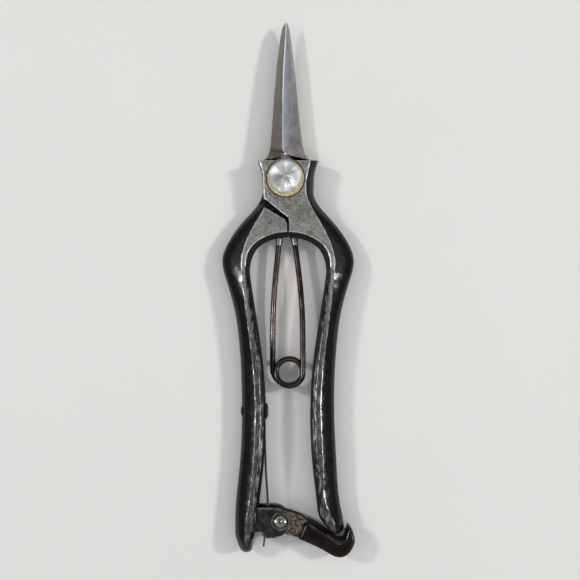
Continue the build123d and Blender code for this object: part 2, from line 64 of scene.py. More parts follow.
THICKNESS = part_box("lower_lever")[1][2] / MM
MID = THICKNESS / 2
LAP_CLEARANCE = 0.05
CENTRE_X = 0.85
FRONT, BACK = 1, -1
LEFT, RIGHT = -1, 1
PIVOT_RADIUS = 3.0
HEAD_CENTRE = centre_of("pivot_rivet")
LATCH_PIVOT = centre_of("latch_rivet")

NOTCH_TOP = (0.1, -14.9)  # where the two plates' seam meets the slanting step

# ---- lever outlines, as (distance from the centre line, y) ----
OUTER_MID = [
    (10.0, -8.1), (14.6, -13.5), (19.7, -20.3), (22.2, -27.0), (20.9, -33.8), (18.1, -43.9),
    (16.3, -57.4), (15.6, -77.0), (16.5, -98.0), (17.7, -110.0),
]
OUTER_FACE = [
    (7.85, -9.7), (10.0, -13.4), (13.3, -19.6), (15.5, -26.6), (15.2, -33.8), (14.1, -43.9),
    (12.3, -57.4), (10.9, -77.0), (11.8, -98.0), (13.3, -110.0),
]
INNER_MID = [
    (0.1, -19.4), (3.7, -19.8), (7.6, -21.2), (10.4, -23.3), (12.1, -26.4), (12.9, -30.2),
    (12.6, -33.8), (11.05, -43.9), (9.0, -57.4), (7.7, -70.9), (7.5, -83.0), (8.3, -97.0),
    (9.8, -110.0),
]
INNER_FACE = [
    (0.1, -17.9), (3.6, -18.2), (7.8, -19.6), (11.4, -22.0), (13.6, -25.4), (14.1, -29.4),
    (13.9, -33.8), (12.6, -43.9), (10.7, -57.4), (9.4, -70.9), (9.3, -83.0), (10.3, -97.0),
    (11.8, -110.0),
]
END_MID = {
    LEFT: [(17.9, -118.5), (17.1, -122.2), (14.8, -125.5), (12.8, -125.3), (11.5, -120.5)],
    RIGHT: [(18.8, -116.8), (18.2, -118.3), (16.3, -119.3), (14.2, -118.2), (11.1, -114.5)],
}
END_FACE = {
    LEFT: [(14.6, -118.5), (14.7, -121.0), (14.2, -122.8), (13.5, -122.5), (12.9, -120.0)],
    RIGHT: [(15.7, -116.2), (16.0, -117.2), (15.7, -117.9), (14.7, -117.3), (12.8, -115.0)],
}
STEP_MID = [NOTCH_TOP, (0.85, -13.9), (10.0, -8.1)]
STEP_FACE = [NOTCH_TOP, (0.85, -13.9), (7.85, -9.7)]
HEAD_MID = [(10.2, 6.3), (9.3, 3.4), (8.6, 0.0), (8.5, -3.4), (9.15, -6.6), (10.0, -8.1)]
HEAD_FACE = [(7.5, 5.8), (6.45, 1.0), (6.0, -2.0), (6.2, -5.0), (6.95, -7.8), (7.85, -9.7)]
FAR_EDGE_MID = [(-8.35, -7.0), (-8.55, -4.6), (-8.75, 0.5), (-9.3, 3.6), (-10.2, 6.3)]
FAR_EDGE_FACE = [(-7.9, -6.8), (-8.05, -4.6), (-8.25, 0.5), (-8.8, 3.6), (-9.6, 5.8)]
LAP_EDGE = [NOTCH_TOP, (-0.2, -12.9), (-8.35, -7.0)]
LAP_EDGE_FACE = [NOTCH_TOP, (-0.2, -12.9), (-7.9, -6.8)]
SHOULDER_MID = (0.54, -0.84)  # direction of the outline where a bow meets its plate
SHOULDER_FACE = (0.45, -0.89)
LEAF_SEAT_X = -7.3  # flat ground on the left handle's inner wall
LEAF_SEAT = (-96.8, -72.8)  # its two y
LEAF_SEAT_REACH = (-9.5, 0.0)  # the x between which a point belongs to the inner wall

# ---- blades, as (height above the pivot, value) ----
# The values are the x of the cutting edge, the bevel's width, the x of the spine and its thickness.
FRONT_EDGE = [
    (5.0, 1.15), (7.4, 1.1), (8.2, 0.85), (9.0, 0.1), (9.7, -0.5), (10.8, -0.78), (20.0, -0.85),
    (28.0, -0.75), (38.0, -0.45), (46.0, 0.05), (51.0, 0.28), (53.1, 0.34),
]
FRONT_BEVEL = [
    (5.0, 1.8), (7.4, 1.75), (8.2, 1.5), (9.0, 0.6), (9.7, 0.25), (10.8, 0.2), (20.0, 0.22),
    (26.0, 0.3), (28.5, 0.42), (38.0, 0.5), (46.0, 0.5), (51.0, 0.4), (53.1, 0.1),
]
FRONT_SPINE = [
    (5.0, -8.0), (6.0, -7.6), (6.5, -6.55), (7.3, -5.9), (8.6, -5.4), (10.0, -5.1), (12.0, -4.9),
    (20.0, -4.3), (28.0, -3.75), (38.0, -2.85), (46.0, -1.95), (51.0, -1.15), (53.1, 0.05),
]
BACK_EDGE = [
    (5.0, -3.2), (7.2, -3.1), (8.2, -2.75), (9.2, -1.9), (10.6, -1.5), (20.0, -1.45), (28.0, -1.35),
    (38.0, -1.05), (46.0, -0.5), (51.0, -0.2), (53.1, 0.15),
]
BACK_BEVEL = [
    (5.0, 0.3), (20.0, 0.35), (28.0, 0.6), (38.0, 0.9), (46.0, 0.9), (51.0, 0.6), (53.1, 0.1),
]
BACK_SPINE = [
    (5.0, 10.0), (6.0, 9.6), (6.5, 8.35), (7.3, 7.35), (8.6, 6.6), (10.0, 6.15), (12.0, 5.65),
    (20.0, 4.7), (28.0, 3.95), (38.0, 2.95), (46.0, 2.05), (51.0, 1.35), (53.1, 0.5),
]
SPINE_THICKNESS = [
    (5.0, 3.7), (12.0, 3.4), (20.0, 3.0), (28.0, 2.6), (38.0, 2.1), (46.0, 1.6), (51.0, 1.0),
    (53.1, 0.35),
]
RELIEF_LINE = ((0.4, 8.45), (7.2, 6.75))  # foot of the back blade's hollow face
RELIEF_DEPTH = 1.7


# ---- curves ----
def spline(points, count, start=None, end=None):
    """A smooth curve through the points, as count + 1 points. start and end are its directions."""
    knots = np.array(points, float)
    spans = np.linalg.norm(np.diff(knots, axis=0), axis=1)
    place = np.concatenate([[0], np.cumsum(spans)])
    last = len(knots) - 1
    matrix = np.zeros((last + 1, last + 1))
    right = np.zeros_like(knots)
    for i in range(1, last):
        before, after = spans[i - 1], spans[i]
        matrix[i, i - 1 : i + 2] = after, 2 * (before + after), before
        right[i] = 3 * (
            after * (knots[i] - knots[i - 1]) / before + before * (knots[i + 1] - knots[i]) / after
        )
    for row, near, tangent, span in ((0, 1, start, spans[0]), (last, last - 1, end, spans[-1])):
        if tangent is None:
            matrix[row, row], matrix[row, near] = 2, 1
            right[row] = 3 * (knots[max(row, near)] - knots[min(row, near)]) / span
        else:
            matrix[row, row] = 1
            right[row] = np.array(tangent, float) / np.linalg.norm(tangent)
    slopes = np.linalg.solve(matrix, right)
    curve = []
    for at in np.linspace(0, place[-1], count + 1):
        i = min(int(np.searchsorted(place, at, side="right")) - 1, last - 1)
        h = spans[i]
        u = (at - place[i]) / h
        curve.append(
            (2 * u**3 - 3 * u**2 + 1) * knots[i] + (u**3 - 2 * u**2 + u) * h * slopes[i]
            + (3 * u**2 - 2 * u**3) * knots[i + 1] + (u**3 - u**2) * h * slopes[i + 1]
        )
    return np.array(curve)


def straight(points, step):
    """A polyline with points added so that none are more than step apart."""
    line = [np.array(points[0], float)]
    for a, b in zip(points, points[1:]):
        a, b = np.array(a, float), np.array(b, float)
        parts = max(1, math.ceil(np.linalg.norm(b - a) / step))
        line += [a + (b - a) * k / parts for k in range(1, parts + 1)]
    return np.array(line)


def evenly(points, parts):
    """A polyline whose runs are divided into the given numbers of parts."""
    points = np.array(points, float)
    line = [points[0]]
    for a, b, count in zip(points, points[1:], parts):
        line += [a + (b - a) * k / count for k in range(1, count + 1)]
    return line


def mixed(low, high, share):
    """Two lists of points, blended."""
    low, high = np.array(low, float), np.array(high, float)
    return low + (high - low) * share


CROSSED = 0.65  # a moved point nearer the outline than this share has crossed over
TINY = 1e-9


def directions(runs):
    """Unit vectors along the rows of runs."""
    return runs / np.maximum(TINY, np.linalg.norm(runs, axis=1))[:, None]


def inset(loop, distance):
    """A closed outline moved inwards by distance; points that cross over join their neighbours."""
    loop = np.array(loop, float)
    ahead, behind = np.roll(loop, -1, axis=0), np.roll(loop, 1, axis=0)
    tangent = directions(directions(ahead - loop) + directions(loop - behind))
    normal = np.stack([-tangent[:, 1], tangent[:, 0]], axis=1)
    area = np.sum(loop[:, 0] * ahead[:, 1] - ahead[:, 0] * loop[:, 1])
    moved = loop + normal * distance * (1 if area > 0 else -1)
    runs = ahead - loop
    offsets = moved[:, None] - loop[None]
    along = np.sum(offsets * runs, axis=2) / np.maximum(TINY, np.sum(runs**2, axis=1))
    clear = np.linalg.norm(offsets - np.clip(along, 0, 1)[..., None] * runs, axis=2).min(axis=1)
    kept = np.flatnonzero(clear >= CROSSED * distance)
    for i in np.flatnonzero(clear < CROSSED * distance):
        apart = np.abs(kept - i)
        moved[i] = moved[kept[np.argmin(np.minimum(apart, len(loop) - apart))]]
    return moved


# ---- mesh helpers ----
SAME_PLACE = 1e-8  # points nearer than this share a vertex, in metres
MERGED = 1e-7  # vertices nearer than this are merged, in metres
HOLE_COUNT = 40
EDGE_SHARE = 0.99  # of a rounding: a ring nearer the flat than this is on the flat


class Shape:
    """A mesh under construction, with a value on each vertex for worn edges and painted edge shading,
    and a material on each face.
    """

    def __init__(self):
        self.bm = bmesh.new()
        self.wear_and_edge_shading = self.bm.verts.layers.float.new("wear_and_edge_shading")

    def ring(self, points, wear_and_edge_shading=0.0):
        """Vertices at the given points, which are in millimetres."""
        made = []
        for point in points:
            place = Vector(point) * MM
            if made and (place - made[-1].co).length < SAME_PLACE:
                made.append(made[-1])
                continue
            vert = self.bm.verts.new(place)
            vert[self.wear_and_edge_shading] = wear_and_edge_shading
            made.append(vert)
        return made

    def face(self, verts, material=0):
        """One face; vertices that are named twice count once."""
        unique = list(dict.fromkeys(verts))
        if len(unique) < 3:
            return
        made = self.bm.faces.new(unique)
        made.material_index = material
        made.smooth = True

    def band(self, low, high, material=0):
        """Quads between two closed rings of equal length. material may be a list, one for each."""
        for i in range(len(low)):
            j = (i + 1) % len(low)
            chosen = material[i] if isinstance(material, list) else material
            self.face([low[i], low[j], high[j], high[i]], chosen)

    def fill(self, rings, material=0):
        """A flat face inside the first ring and outside the others."""
        edges = []
        for ring in rings:
            for a, b in zip(ring, ring[1:] + ring[:1]):
                if a is not b:
                    edges.append(self.bm.edges.get((a, b)) or self.bm.edges.new((a, b)))
        made = bmesh.ops.triangle_fill(self.bm, use_beauty=True, use_dissolve=False, edges=edges)
        for item in made["geom"]:
            if isinstance(item, bmesh.types.BMFace):
                item.material_index = material
                item.smooth = True

    def piece(self, name, body, materials, nodes=(), sharp=32.0):
        """The finished object, riding on its body and standing for its CAD nodes."""
        bmesh.ops.recalc_face_normals(self.bm, faces=self.bm.faces)
        mesh = bpy.data.meshes.new(name)
        self.bm.to_mesh(mesh)
        self.bm.free()
        mesh.set_sharp_from_angle(angle=math.radians(sharp))
        for finish in materials:
            mesh.materials.append(finish)
        obj = added(name, mesh)
        if body:
            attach(obj, body)
        if nodes:
            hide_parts(*nodes)
        return obj


def added(name, data):
    """A new object in the scene."""
    obj = bpy.data.objects.new(name, data)
    bpy.context.scene.collection.objects.link(obj)
    return obj


def with_z(points, z):
    """Flat points lifted to one height."""
    return [(x, y, z) for x, y in points]


def circle(centre, radius, count):
    """Points round a circle in the XY plane."""
    turns = [2 * math.pi * k / count for k in range(count)]
    return [(centre[0] + radius * math.cos(a), centre[1] + radius * math.sin(a)) for a in turns]


def prism(shape, outline, low, high, rounding, steps=2, side=0, top=0, wall=None, hole=None,
          worn=1.0, margin=0.0):
    """A plate with rounded edges between two heights. Its materials are side for the edges, top for the
    flats and wall for the upright band. The edges' worn value runs on to the flats by margin; on the
    latch hook it is partly a painted highlight."""
    rings = []
    quarter = [math.pi / 2 * k / steps for k in range(steps + 1)]
    curl = [(rounding * (1 - math.sin(a)), rounding * (1 - math.cos(a))) for a in quarter]
    levels = [(low + rise, distance) for rise, distance in curl[::-1]]
    levels += [(high - rise, distance) for rise, distance in curl]
    for z, distance in levels:
        on_edge = 0 < distance < EDGE_SHARE * rounding or (margin and distance)
        rings.append(shape.ring(with_z(inset(outline, distance), z), worn if on_edge else 0.0))
    for k, (a, b) in enumerate(zip(rings, rings[1:])):
        shape.band(a, b, material=wall if wall is not None and k == steps else side)
    if margin:
        flats = [shape.ring(with_z(inset(outline, rounding + margin), z)) for z in (low, high)]
        shape.band(rings[0], flats[0], material=top)
        shape.band(rings[-1], flats[1], material=top)
        rings = flats
    if hole:
        centre, radius = hole
        walls = [shape.ring(with_z(circle(centre, radius, HOLE_COUNT), z)) for z in (low, high)]
        shape.band(*walls, material=side)
        shape.fill([rings[0], walls[0]], top)
        shape.fill([rings[-1], walls[1]], top)
    else:
        shape.fill([rings[0]], top)
        shape.fill([rings[-1]], top)


def lathe(shape, profile, place, count=72):
    """A profile of (radius, height, value for worn edges and painted edge shading) turned about the +Z
    axis of place.
    """
    previous = None
    for radius, height, wear_and_edge_shading in profile:
        if radius == 0:
            ring = shape.ring([place @ Vector((0, 0, height))], wear_and_edge_shading) * count
        else:
            rim = circle((0, 0), radius, count)
            ring = shape.ring([place @ Vector((x, y, height)) for x, y in rim], wear_and_edge_shading)
        if previous:
            shape.band(previous, ring)
        previous = ring


def tube(shape, path, radius, sides=20):
    """A round wire along a path of points, with flat ends."""
    path = [Vector(point) for point in path]
    across = Vector((0, 0, 1))
    rim = circle((0, 0), radius, sides)
    rings = []
    for i, point in enumerate(path):
        along = (path[min(i + 1, len(path) - 1)] - path[max(i - 1, 0)]).normalized()
        across = (across - along * across.dot(along)).normalized()
        other = along.cross(across)
        rings.append(shape.ring([point + across * u + other * v for u, v in rim]))
    for a, b in zip(rings, rings[1:]):
        shape.band(a, b)
    for end in (rings[0], rings[-1]):
        shape.face(end)


# ---- materials ----
class Finish:
    """A node material: short calls for the few nodes that these metals need."""

    def __init__(self, name, metallic, roughness):
        self.material = bpy.data.materials.new(name)
        self.material.use_nodes = True
        self.nodes = self.material.node_tree.nodes
        self.links = self.material.node_tree.links
        self.shader = self.nodes["Principled BSDF"]
        self.shader.inputs["Metallic"].default_value = metallic
        self.shader.inputs["Roughness"].default_value = roughness
        self.place = self.nodes.new("ShaderNodeTexCoord").outputs["Object"]

    def put(self, socket, value):
        """Link a node's output to a socket, or set a plain value on it."""
        if hasattr(value, "is_linked"):
            self.links.new(value, socket)
        else:
            socket.default_value = value

    def node(self, kind, source, **values):
        """A new node whose vector is linked to source, with inputs set by name."""
        made = self.nodes.new("ShaderNode" + kind)
        self.links.new(source, made.inputs["Vector"])
        for key, value in values.items():
            made.inputs[key].default_value = value
        return made

    def noise(self, size, detail=3.0, rough=0.5, stretch=(1, 1, 1)):
        """Noise whose blotches are about size millimetres across."""
        scaled = self.node("Mapping", self.place, Scale=stretch).outputs["Vector"]
        made = self.node("TexNoise", scaled, Scale=1 / (size * MM), Detail=detail, Roughness=rough)
        return made.outputs["Fac"]

    def cells(self, size):
        """Smooth round dimples about size millimetres across."""
        made = self.node("TexVoronoi", self.place, Scale=1 / (size * MM))
        made.feature = "SMOOTH_F1"
        return made.outputs["Distance"]

    def wear_and_edge_shading(self):
        """The value for worn edges and painted edge shading that the mesh carries on its vertices."""
        made = self.nodes.new("ShaderNodeAttribute")
        made.attribute_name = "wear_and_edge_shading"
        return made.outputs["Fac"]

    def axis(self, name):
        """One coordinate of the surface point, in metres."""
        return self.node("SeparateXYZ", self.place).outputs[name]

    def span(self, value, low, high, to_low=0.0, to_high=1.0, smooth=False):
        """A value mapped from low..high to to_low..to_high, and held at the ends."""
        made = self.nodes.new("ShaderNodeMapRange")
        made.interpolation_type = "SMOOTHSTEP" if smooth else "LINEAR"
        self.put(made.inputs["Value"], value)
        made.inputs["From Min"].default_value = low
        made.inputs["From Max"].default_value = high
        made.inputs["To Min"].default_value = to_low
        made.inputs["To Max"].default_value = to_high
        return made.outputs["Result"]

    def math(self, operation, a, b):
        """One operation on two values."""
        made = self.nodes.new("ShaderNodeMath")
        made.operation = operation
        self.put(made.inputs[0], a)
        self.put(made.inputs[1], b)
        return made.outputs[0]

    def mix(self, share, a, b):
        """Two colours mixed."""
        made = self.nodes.new("ShaderNodeMix")
        made.data_type = "RGBA"
        self.put(made.inputs[0], share)
        for socket, value in ((made.inputs[6], a), (made.inputs[7], b)):
            self.put(socket, value if hasattr(value, "is_linked") else (*value, 1))
        return made.outputs[2]

    def bump(self, height, strength, distance):
        """Bump from a height, of the given depth in millimetres; a second call adds to the first."""
        made = self.nodes.new("ShaderNodeBump")
        made.inputs["Strength"].default_value = strength
        made.inputs["Distance"].default_value = distance * MM
        self.put(made.inputs["Height"], height)
        normal = self.shader.inputs["Normal"]
        if normal.is_linked:
            self.links.new(normal.links[0].from_socket, made.inputs["Normal"])
        self.links.new(made.outputs["Normal"], normal)

    def set(self, name, value):
        """Set or link one of the shader's own inputs."""
        self.put(self.shader.inputs[name], value)


def black_scale(name, pitting):
    """Glossy black forging scale with fine pits, and bare steel where the edges are worn."""
    finish = Finish(name, 0.0, 0.3)
    black = finish.mix(finish.noise(9, 4), (0.0028, 0.0028, 0.0034), (0.008, 0.0078, 0.009))
    worn = finish.math("MULTIPLY", finish.wear_and_edge_shading(), finish.span(finish.noise(2.2, 4), 0.3, 0.62))
    specks = finish.math("MULTIPLY", finish.span(finish.noise(0.5, 2), 0.7, 0.76), 0.3)
    bare = finish.math("MAXIMUM", finish.span(worn, 0.25, 0.6), specks)
    finish.set("Base Color", finish.mix(bare, black, (0.22, 0.215, 0.21)))
    finish.set("Metallic", finish.math("MULTIPLY", bare, 0.9))
    finish.set("Roughness", finish.span(finish.noise(1.6, 4), 0.3, 0.7, 0.09, 0.22))
    finish.set("Specular IOR Level", 0.26)
    finish.bump(finish.cells(2.6), pitting, 0.13)
    finish.bump(finish.noise(1.1, 4, 0.6), 0.4 * pitting, 0.1)
    finish.bump(finish.noise(0.35, 3), 0.25, 0.02)
    return finish.material


def ground_steel(
    name, light, dark, roughness, grain=(1, 1, 1), stain=(0.1, 0.08, 0.065), fade=None
):
    """Ground, slightly stained steel. grain stretches its scratches; fade gives the two y
    between which the grinding dies out under black scale."""
    finish = Finish(name, 1.0, roughness)
    scratches = finish.noise(0.35, 2, 0.5, grain)
    mottle = finish.noise(0.8, 6, 0.7)
    stains = finish.span(finish.noise(5.0, 5, 0.65), 0.48, 0.72, 0.0, 0.6)
    steel = finish.mix(finish.span(mottle, 0.36, 0.66), dark, light)
    steel = finish.mix(finish.math("MULTIPLY", finish.span(scratches, 0.4, 0.75), 0.35), steel, light)
    steel = finish.mix(stains, steel, stain)
    # Worn edges lighten towards bright steel; at the pivot recess rim this is partly a painted
    # highlight.
    colour = finish.mix(finish.span(finish.wear_and_edge_shading(), 0.3, 1.0, 0.0, 0.8), steel, (0.78, 0.78, 0.77))
    if fade:
        down = finish.span(finish.axis("Y"), fade[0] * MM, fade[1] * MM, smooth=True)
        bare = finish.span(finish.noise(0.9, 4, 0.65, (1, 0.3, 1)), 0.5, 0.62, 1.0, 0.25)
        hidden = finish.math("MULTIPLY", down, bare)
        colour = finish.mix(hidden, colour, (0.008, 0.008, 0.009))
        finish.set("Metallic", finish.span(hidden, 0.2, 0.9, 1.0, 0.1))
    finish.set("Base Color", colour)
    finish.set("Roughness", finish.span(mottle, 0.3, 0.7, roughness - 0.08, roughness + 0.12))
    finish.bump(scratches, 0.3, 0.02)
    finish.bump(mottle, 0.35, 0.03)
    return finish.material


# The darkening at a blade's root is a painted shade where the blade meets the plate.
ROOT_SHADE_FADE = 2.5  # height over which a blade's root darkens


def blade_steel(name, near, far, low_x, high_x, roughness, root=None):
    """Ground blade steel. Its colour runs from near to far across the blade as painted shading of the
    facet and painted reflection in the hollow, and a painted shade darkens it below root, where it meets
    the plate.
    """
    finish = Finish(name, 1.0, roughness)
    # Painted shading: the colour goes from near to far across the blade, in place of how light falls on
    # it.
    across = finish.span(finish.axis("X"), low_x * MM, high_x * MM, smooth=True)
    scratches = finish.noise(0.25, 2, 0.5, (1, 0.12, 1))
    mottle = finish.noise(1.5, 5, 0.6, (1, 0.4, 1))
    colour = finish.mix(across, near, far)
    colour = finish.mix(finish.span(mottle, 0.35, 0.75, 0.0, 0.35), colour, (0.3, 0.26, 0.23))
    colour = finish.mix(finish.span(scratches, 0.5, 0.8, 0.0, 0.25), colour, (0.8, 0.8, 0.8))
    # Painted shade: below root the steel darkens towards near-black.
    if root:
        low = finish.span(finish.axis("Y"), root * MM, (root + ROOT_SHADE_FADE) * MM, 0.75, 0.0, smooth=True)
        colour = finish.mix(low, colour, (0.05, 0.045, 0.04))
    finish.set("Base Color", colour)
    finish.set("Roughness", finish.span(mottle, 0.3, 0.7, roughness - 0.06, roughness + 0.1))
    finish.bump(scratches, 0.35, 0.015)
    return finish.material


def turned_steel(name, centre):
    """Bright steel with the fine rings that turning leaves about a centre. Noise by direction from that
    centre darkens it in segments, a painted reflection of a turned face's highlights, and its edge
    shading value darkens the rim as a painted shade.
    """
    finish = Finish(name, 1.0, 0.22)
    shift = (-centre[0] * MM, -centre[1] * MM, 0)
    shifted = finish.node("Mapping", finish.place, Location=shift).outputs["Vector"]
    rings = finish.node("TexWave", shifted, Scale=1 / (2.2 * MM), Distortion=0.4)
    rings.wave_type = "RINGS"
    rings.rings_direction = "Z"
    flat = finish.node("VectorMath", shifted)
    flat.operation = "MULTIPLY"
    flat.inputs[1].default_value = (1, 1, 0)
    outward = finish.node("VectorMath", flat.outputs[0])
    outward.operation = "NORMALIZE"
    painted_sectors = finish.node("TexNoise", outward.outputs[0], Scale=1.6, Detail=3.0)
    blotch = finish.span(finish.noise(2.0, 4), 0.35, 0.7)
    shade = finish.mix(blotch, (0.93, 0.93, 0.92), (0.74, 0.735, 0.73))
    # Painted reflection: by direction from the centre the steel darkens in segments, standing in for a
    # turned face's bow-tie highlights.
    dull = finish.span(painted_sectors.outputs["Fac"], 0.4, 0.58, 0.85, 0.0)
    steel = finish.mix(dull, shade, (0.38, 0.38, 0.375))
    # Painted shade: the edge shading value on the head's rounded rim darkens it towards grey.
    finish.set("Base Color", finish.mix(finish.wear_and_edge_shading(), steel, (0.3, 0.3, 0.3)))
    finish.set("Roughness", finish.span(finish.noise(0.8, 4), 0.3, 0.7, 0.24, 0.36))
    around = finish.nodes.new("ShaderNodeTangent")
    around.direction_type = "RADIAL"
    around.axis = "Z"
    finish.set("Tangent", around.outputs["Tangent"])
    finish.set("Anisotropic", 0.75)
    finish.bump(rings.outputs["Fac"], 0.15, 0.02)
    finish.bump(finish.noise(0.9, 3), 0.12, 0.03)
    return finish.material


BRIGHTEST = 0.8  # of a worn edge's colour


def plain_metal(name, light, dark, metallic, roughness, grain, depth,
                blend=(0.3, 0.7), gloss=0.5, stretch=(1, 1, 1)):
    """A metal with blotchy colour, uneven gloss and a fine skin. grain scales the blotches and
    blend sharpens them; depth is the skin's, in millimetres."""
    finish = Finish(name, metallic, roughness)
    blotch = finish.noise(2.2 * grain, 4, 0.6, stretch)
    colour = finish.mix(finish.span(blotch, *blend), dark, light)
    finish.set("Specular IOR Level", gloss)
    patchy = finish.span(finish.noise(1.1 * grain, 3), 0.3, 0.6)
    # Worn edges lighten towards bright; on the latch hook's edges this is partly a painted highlight.
    worn = finish.span(finish.math("MULTIPLY", finish.wear_and_edge_shading(), patchy), 0.2, 0.9, 0.0, 0.6)
    bright = tuple(min(BRIGHTEST, 0.2 + 2.2 * channel) for channel in light)
    finish.set("Base Color", finish.mix(worn, colour, bright))
    uneven = finish.noise(0.9 * grain, 4)
    finish.set("Roughness", finish.span(uneven, 0.3, 0.7, roughness - 0.07, roughness + 0.13))
    finish.bump(finish.noise(0.45 * grain, 4, 0.6), 0.4, depth)
    return finish.material


LACQUER = {
    LEFT: black_scale("black_scale_smooth", 0.35),
    RIGHT: black_scale("black_scale_pitted", 0.75),
}
GROUND = ground_steel(
    "ground_flat", (0.32, 0.318, 0.3), (0.105, 0.104, 0.1), 0.42, fade=(-34.0, -60.0),
)
BEVEL_WHITE = ground_steel(
    "ground_bevel", (0.95, 0.95, 0.95), (0.8, 0.8, 0.8), 0.25, (1, 0.15, 1), (0.7, 0.68, 0.65),
)
# Both blades carry painted shading across them, from the near colour to the far one; the front facet
# also has a painted shade at its root.
FRONT_FACET = blade_steel(
    "front_facet", (0.25, 0.225, 0.2), (0.33, 0.3, 0.27), -5.0, 0.0, 0.36, root=8.4,
)
BACK_HOLLOW = blade_steel("back_hollow", (0.42, 0.44, 0.51), (0.29, 0.27, 0.255), -0.5, 3.8, 0.32)
HEAD_STEEL = turned_steel("turned_head", HEAD_CENTRE)
EDGE = plain_metal(
    "worn_edge", (0.45, 0.45, 0.44), (0.2, 0.2, 0.195), 1.0, 0.36, 0.8, 0.02, blend=(0.38, 0.62),
)
CHAMFER = plain_metal(
    "worn_chamfer", (0.085, 0.083, 0.08), (0.003, 0.003, 0.003), 0.9, 0.34, 0.5, 0.02,
    blend=(0.48, 0.7), stretch=(1, 0.3, 1),
)
# Painted shade: a duller, less glossy copy of the black scale for the inner walls and the hook's upright
# sides, so that they read as in shade.
SHADED_WALL = plain_metal(
    "shaded_black_wall", (0.01, 0.009, 0.009), (0.005, 0.005, 0.005), 0.0, 0.6, 1.0, 0.03, gloss=0.15,
)
# Painted shade: a matte near-black for faces in seams, bores, the pivot recess wall and the blade's
# relief notch, where shade falls.
CREVICE_SHADE = plain_metal(
    "crevice_shade", (0.006, 0.0055, 0.005), (0.003, 0.003, 0.003), 0.0, 0.8, 0.8, 0.02, gloss=0.1,
)
DOME_STEEL = plain_metal("polished_dome", (0.24, 0.24, 0.24), (0.1, 0.097, 0.095), 1.0, 0.16, 0.7, 0.02)
BRASS = plain_metal("brass", (1.0, 0.8, 0.34), (0.72, 0.52, 0.2), 0.75, 0.26, 0.6, 0.02)
LATCH_WASHER = plain_metal("aged_brass", (0.17, 0.14, 0.08), (0.03, 0.027, 0.022), 0.9, 0.4, 1.6, 0.02)
WIRE = plain_metal("dark_wire", (0.06, 0.047, 0.043), (0.012, 0.01, 0.009), 0.9, 0.2, 2.4, 0.006)
FERRULE = plain_metal("ferrule", (0.24, 0.25, 0.26), (0.1, 0.1, 0.105), 0.9, 0.34, 0.8, 0.01)
BRACKET = plain_metal(
    "bracket", (0.034, 0.033, 0.036), (0.006, 0.006, 0.006), 0.5, 0.32, 0.9, 0.02,
    blend=(0.4, 0.65), gloss=0.3,
)
HOOK_BLACK = plain_metal(
    "hook_gloss", (0.008, 0.0028, 0.0022), (0.002, 0.0012, 0.001), 0.0, 0.14, 3.0, 0.02, gloss=0.22,
)
HOOK_NECK = plain_metal(
    "hook_bare", (0.19, 0.135, 0.1), (0.02, 0.015, 0.012), 0.8, 0.4, 0.5, 0.05, blend=(0.4, 0.62),
)
BLUED = plain_metal(
    "blued_leaf", (0.012, 0.012, 0.013), (0.006, 0.006, 0.007), 0.1, 0.36, 1.6, 0.01, gloss=0.2,
)


# ---- levers ----
# A lever's materials, in the order that lever() lists them.
# Faces with the SEAM material take a matte near-black: painted shade in seams, bores and recesses.
SCALE, FLAT, WORN, SEAM, FACET, BEVEL, HOLLOW, INNER_WALL, INNER_CHAMFER = range(9)

# Heights of a lever's rings, as shares of the way from the mid-plane to the face.
SIDE_RISES = [0.0, 0.12, 0.24, 0.36, 0.48, 0.6, 0.7, 0.79, 0.84, 0.88, 0.92, 0.96, 1.0]
RISE_WEAR = {0.96: 0.2, 1.0: 0.5}
LAP_WEAR = 0.5
CHAMFER_START = 0.88  # above this rise the inner wall leans back as a chamfer
CHAMFER_SHARE = 0.42  # the part of the wall's lean that is done below the chamfer
FACE_BREAK = 0.3  # width of the worn edge round the flat faces
FACE_DROP = 0.12  # and its depth
RIDGE_END = -62.0  # below this the outer ridge of a handle keeps its scale
ARCH_END = -30.0  # below this the edges are worn chamfers
RECESS_RADIUS = 6.5
RIM_BREAK = 0.1
RECESS_DEPTH = 0.5
TAIL_RADIUS = 4.3
TAIL_DEPTH = 1.2
ROUND_COUNT = 72

# Segments in the parts of a lever's outlines.
OUTER_COUNT, END_COUNT, INNER_COUNT, NOTCH_COUNT = 150, 40, 170, 5
OUTSIDE_COUNT = OUTER_COUNT + END_COUNT
SEAM_COUNT, LAP_COUNT, STEP_COUNT = 2, 12, 14
FAR_COUNT, TOP_COUNT, HEAD_COUNT = 24, 20, 36


def inner_share(rise):
    """How far the inner wall has gone from its mid-plane outline to its face outline."""
    if rise < CHAMFER_START:
        return CHAMFER_SHARE * (rise / CHAMFER_START) ** 2
    return CHAMFER_SHARE + (1 - CHAMFER_SHARE) * (rise - CHAMFER_START) / (1 - CHAMFER_START)


def placed(side, points):
    """Points given as (distance from the centre line, y), on one side of the shears."""
    return [(CENTRE_X + side * across, y) for across, y in points]


def handle_path(side, rise):
    """Open outline of the bow and handle at one height: outer side, end, inner side."""
    round_share, wall_share = rise**2, inner_share(rise)
    outer = placed(side, mixed(OUTER_MID, OUTER_FACE, round_share))
    end = placed(side, mixed(END_MID[side], END_FACE[side], round_share))
    inner = placed(side, mixed(INNER_MID, INNER_FACE, wall_share))
    heel = placed(side, mixed(END_MID[side][-1:], END_FACE[side][-1:], wall_share))[0]
    end[-1] = heel
    lean = mixed(SHOULDER_MID, SHOULDER_FACE, round_share)
    toe, back = (0.0, -1.0), (end[-1][0] - end[-2][0], end[-1][1] - end[-2][1])
    path = list(spline(outer + end[:1], OUTER_COUNT, (side * lean[0], lean[1]), toe))
    path += list(spline(end, END_COUNT, toe, back))[1:]
    path += list(spline(inner + [heel], INNER_COUNT, None, (-back[0], -back[1])))[::-1][1:]
    path += evenly([path[-1], *placed(side, [NOTCH_TOP])], [NOTCH_COUNT])[1:]
    return np.array(path)


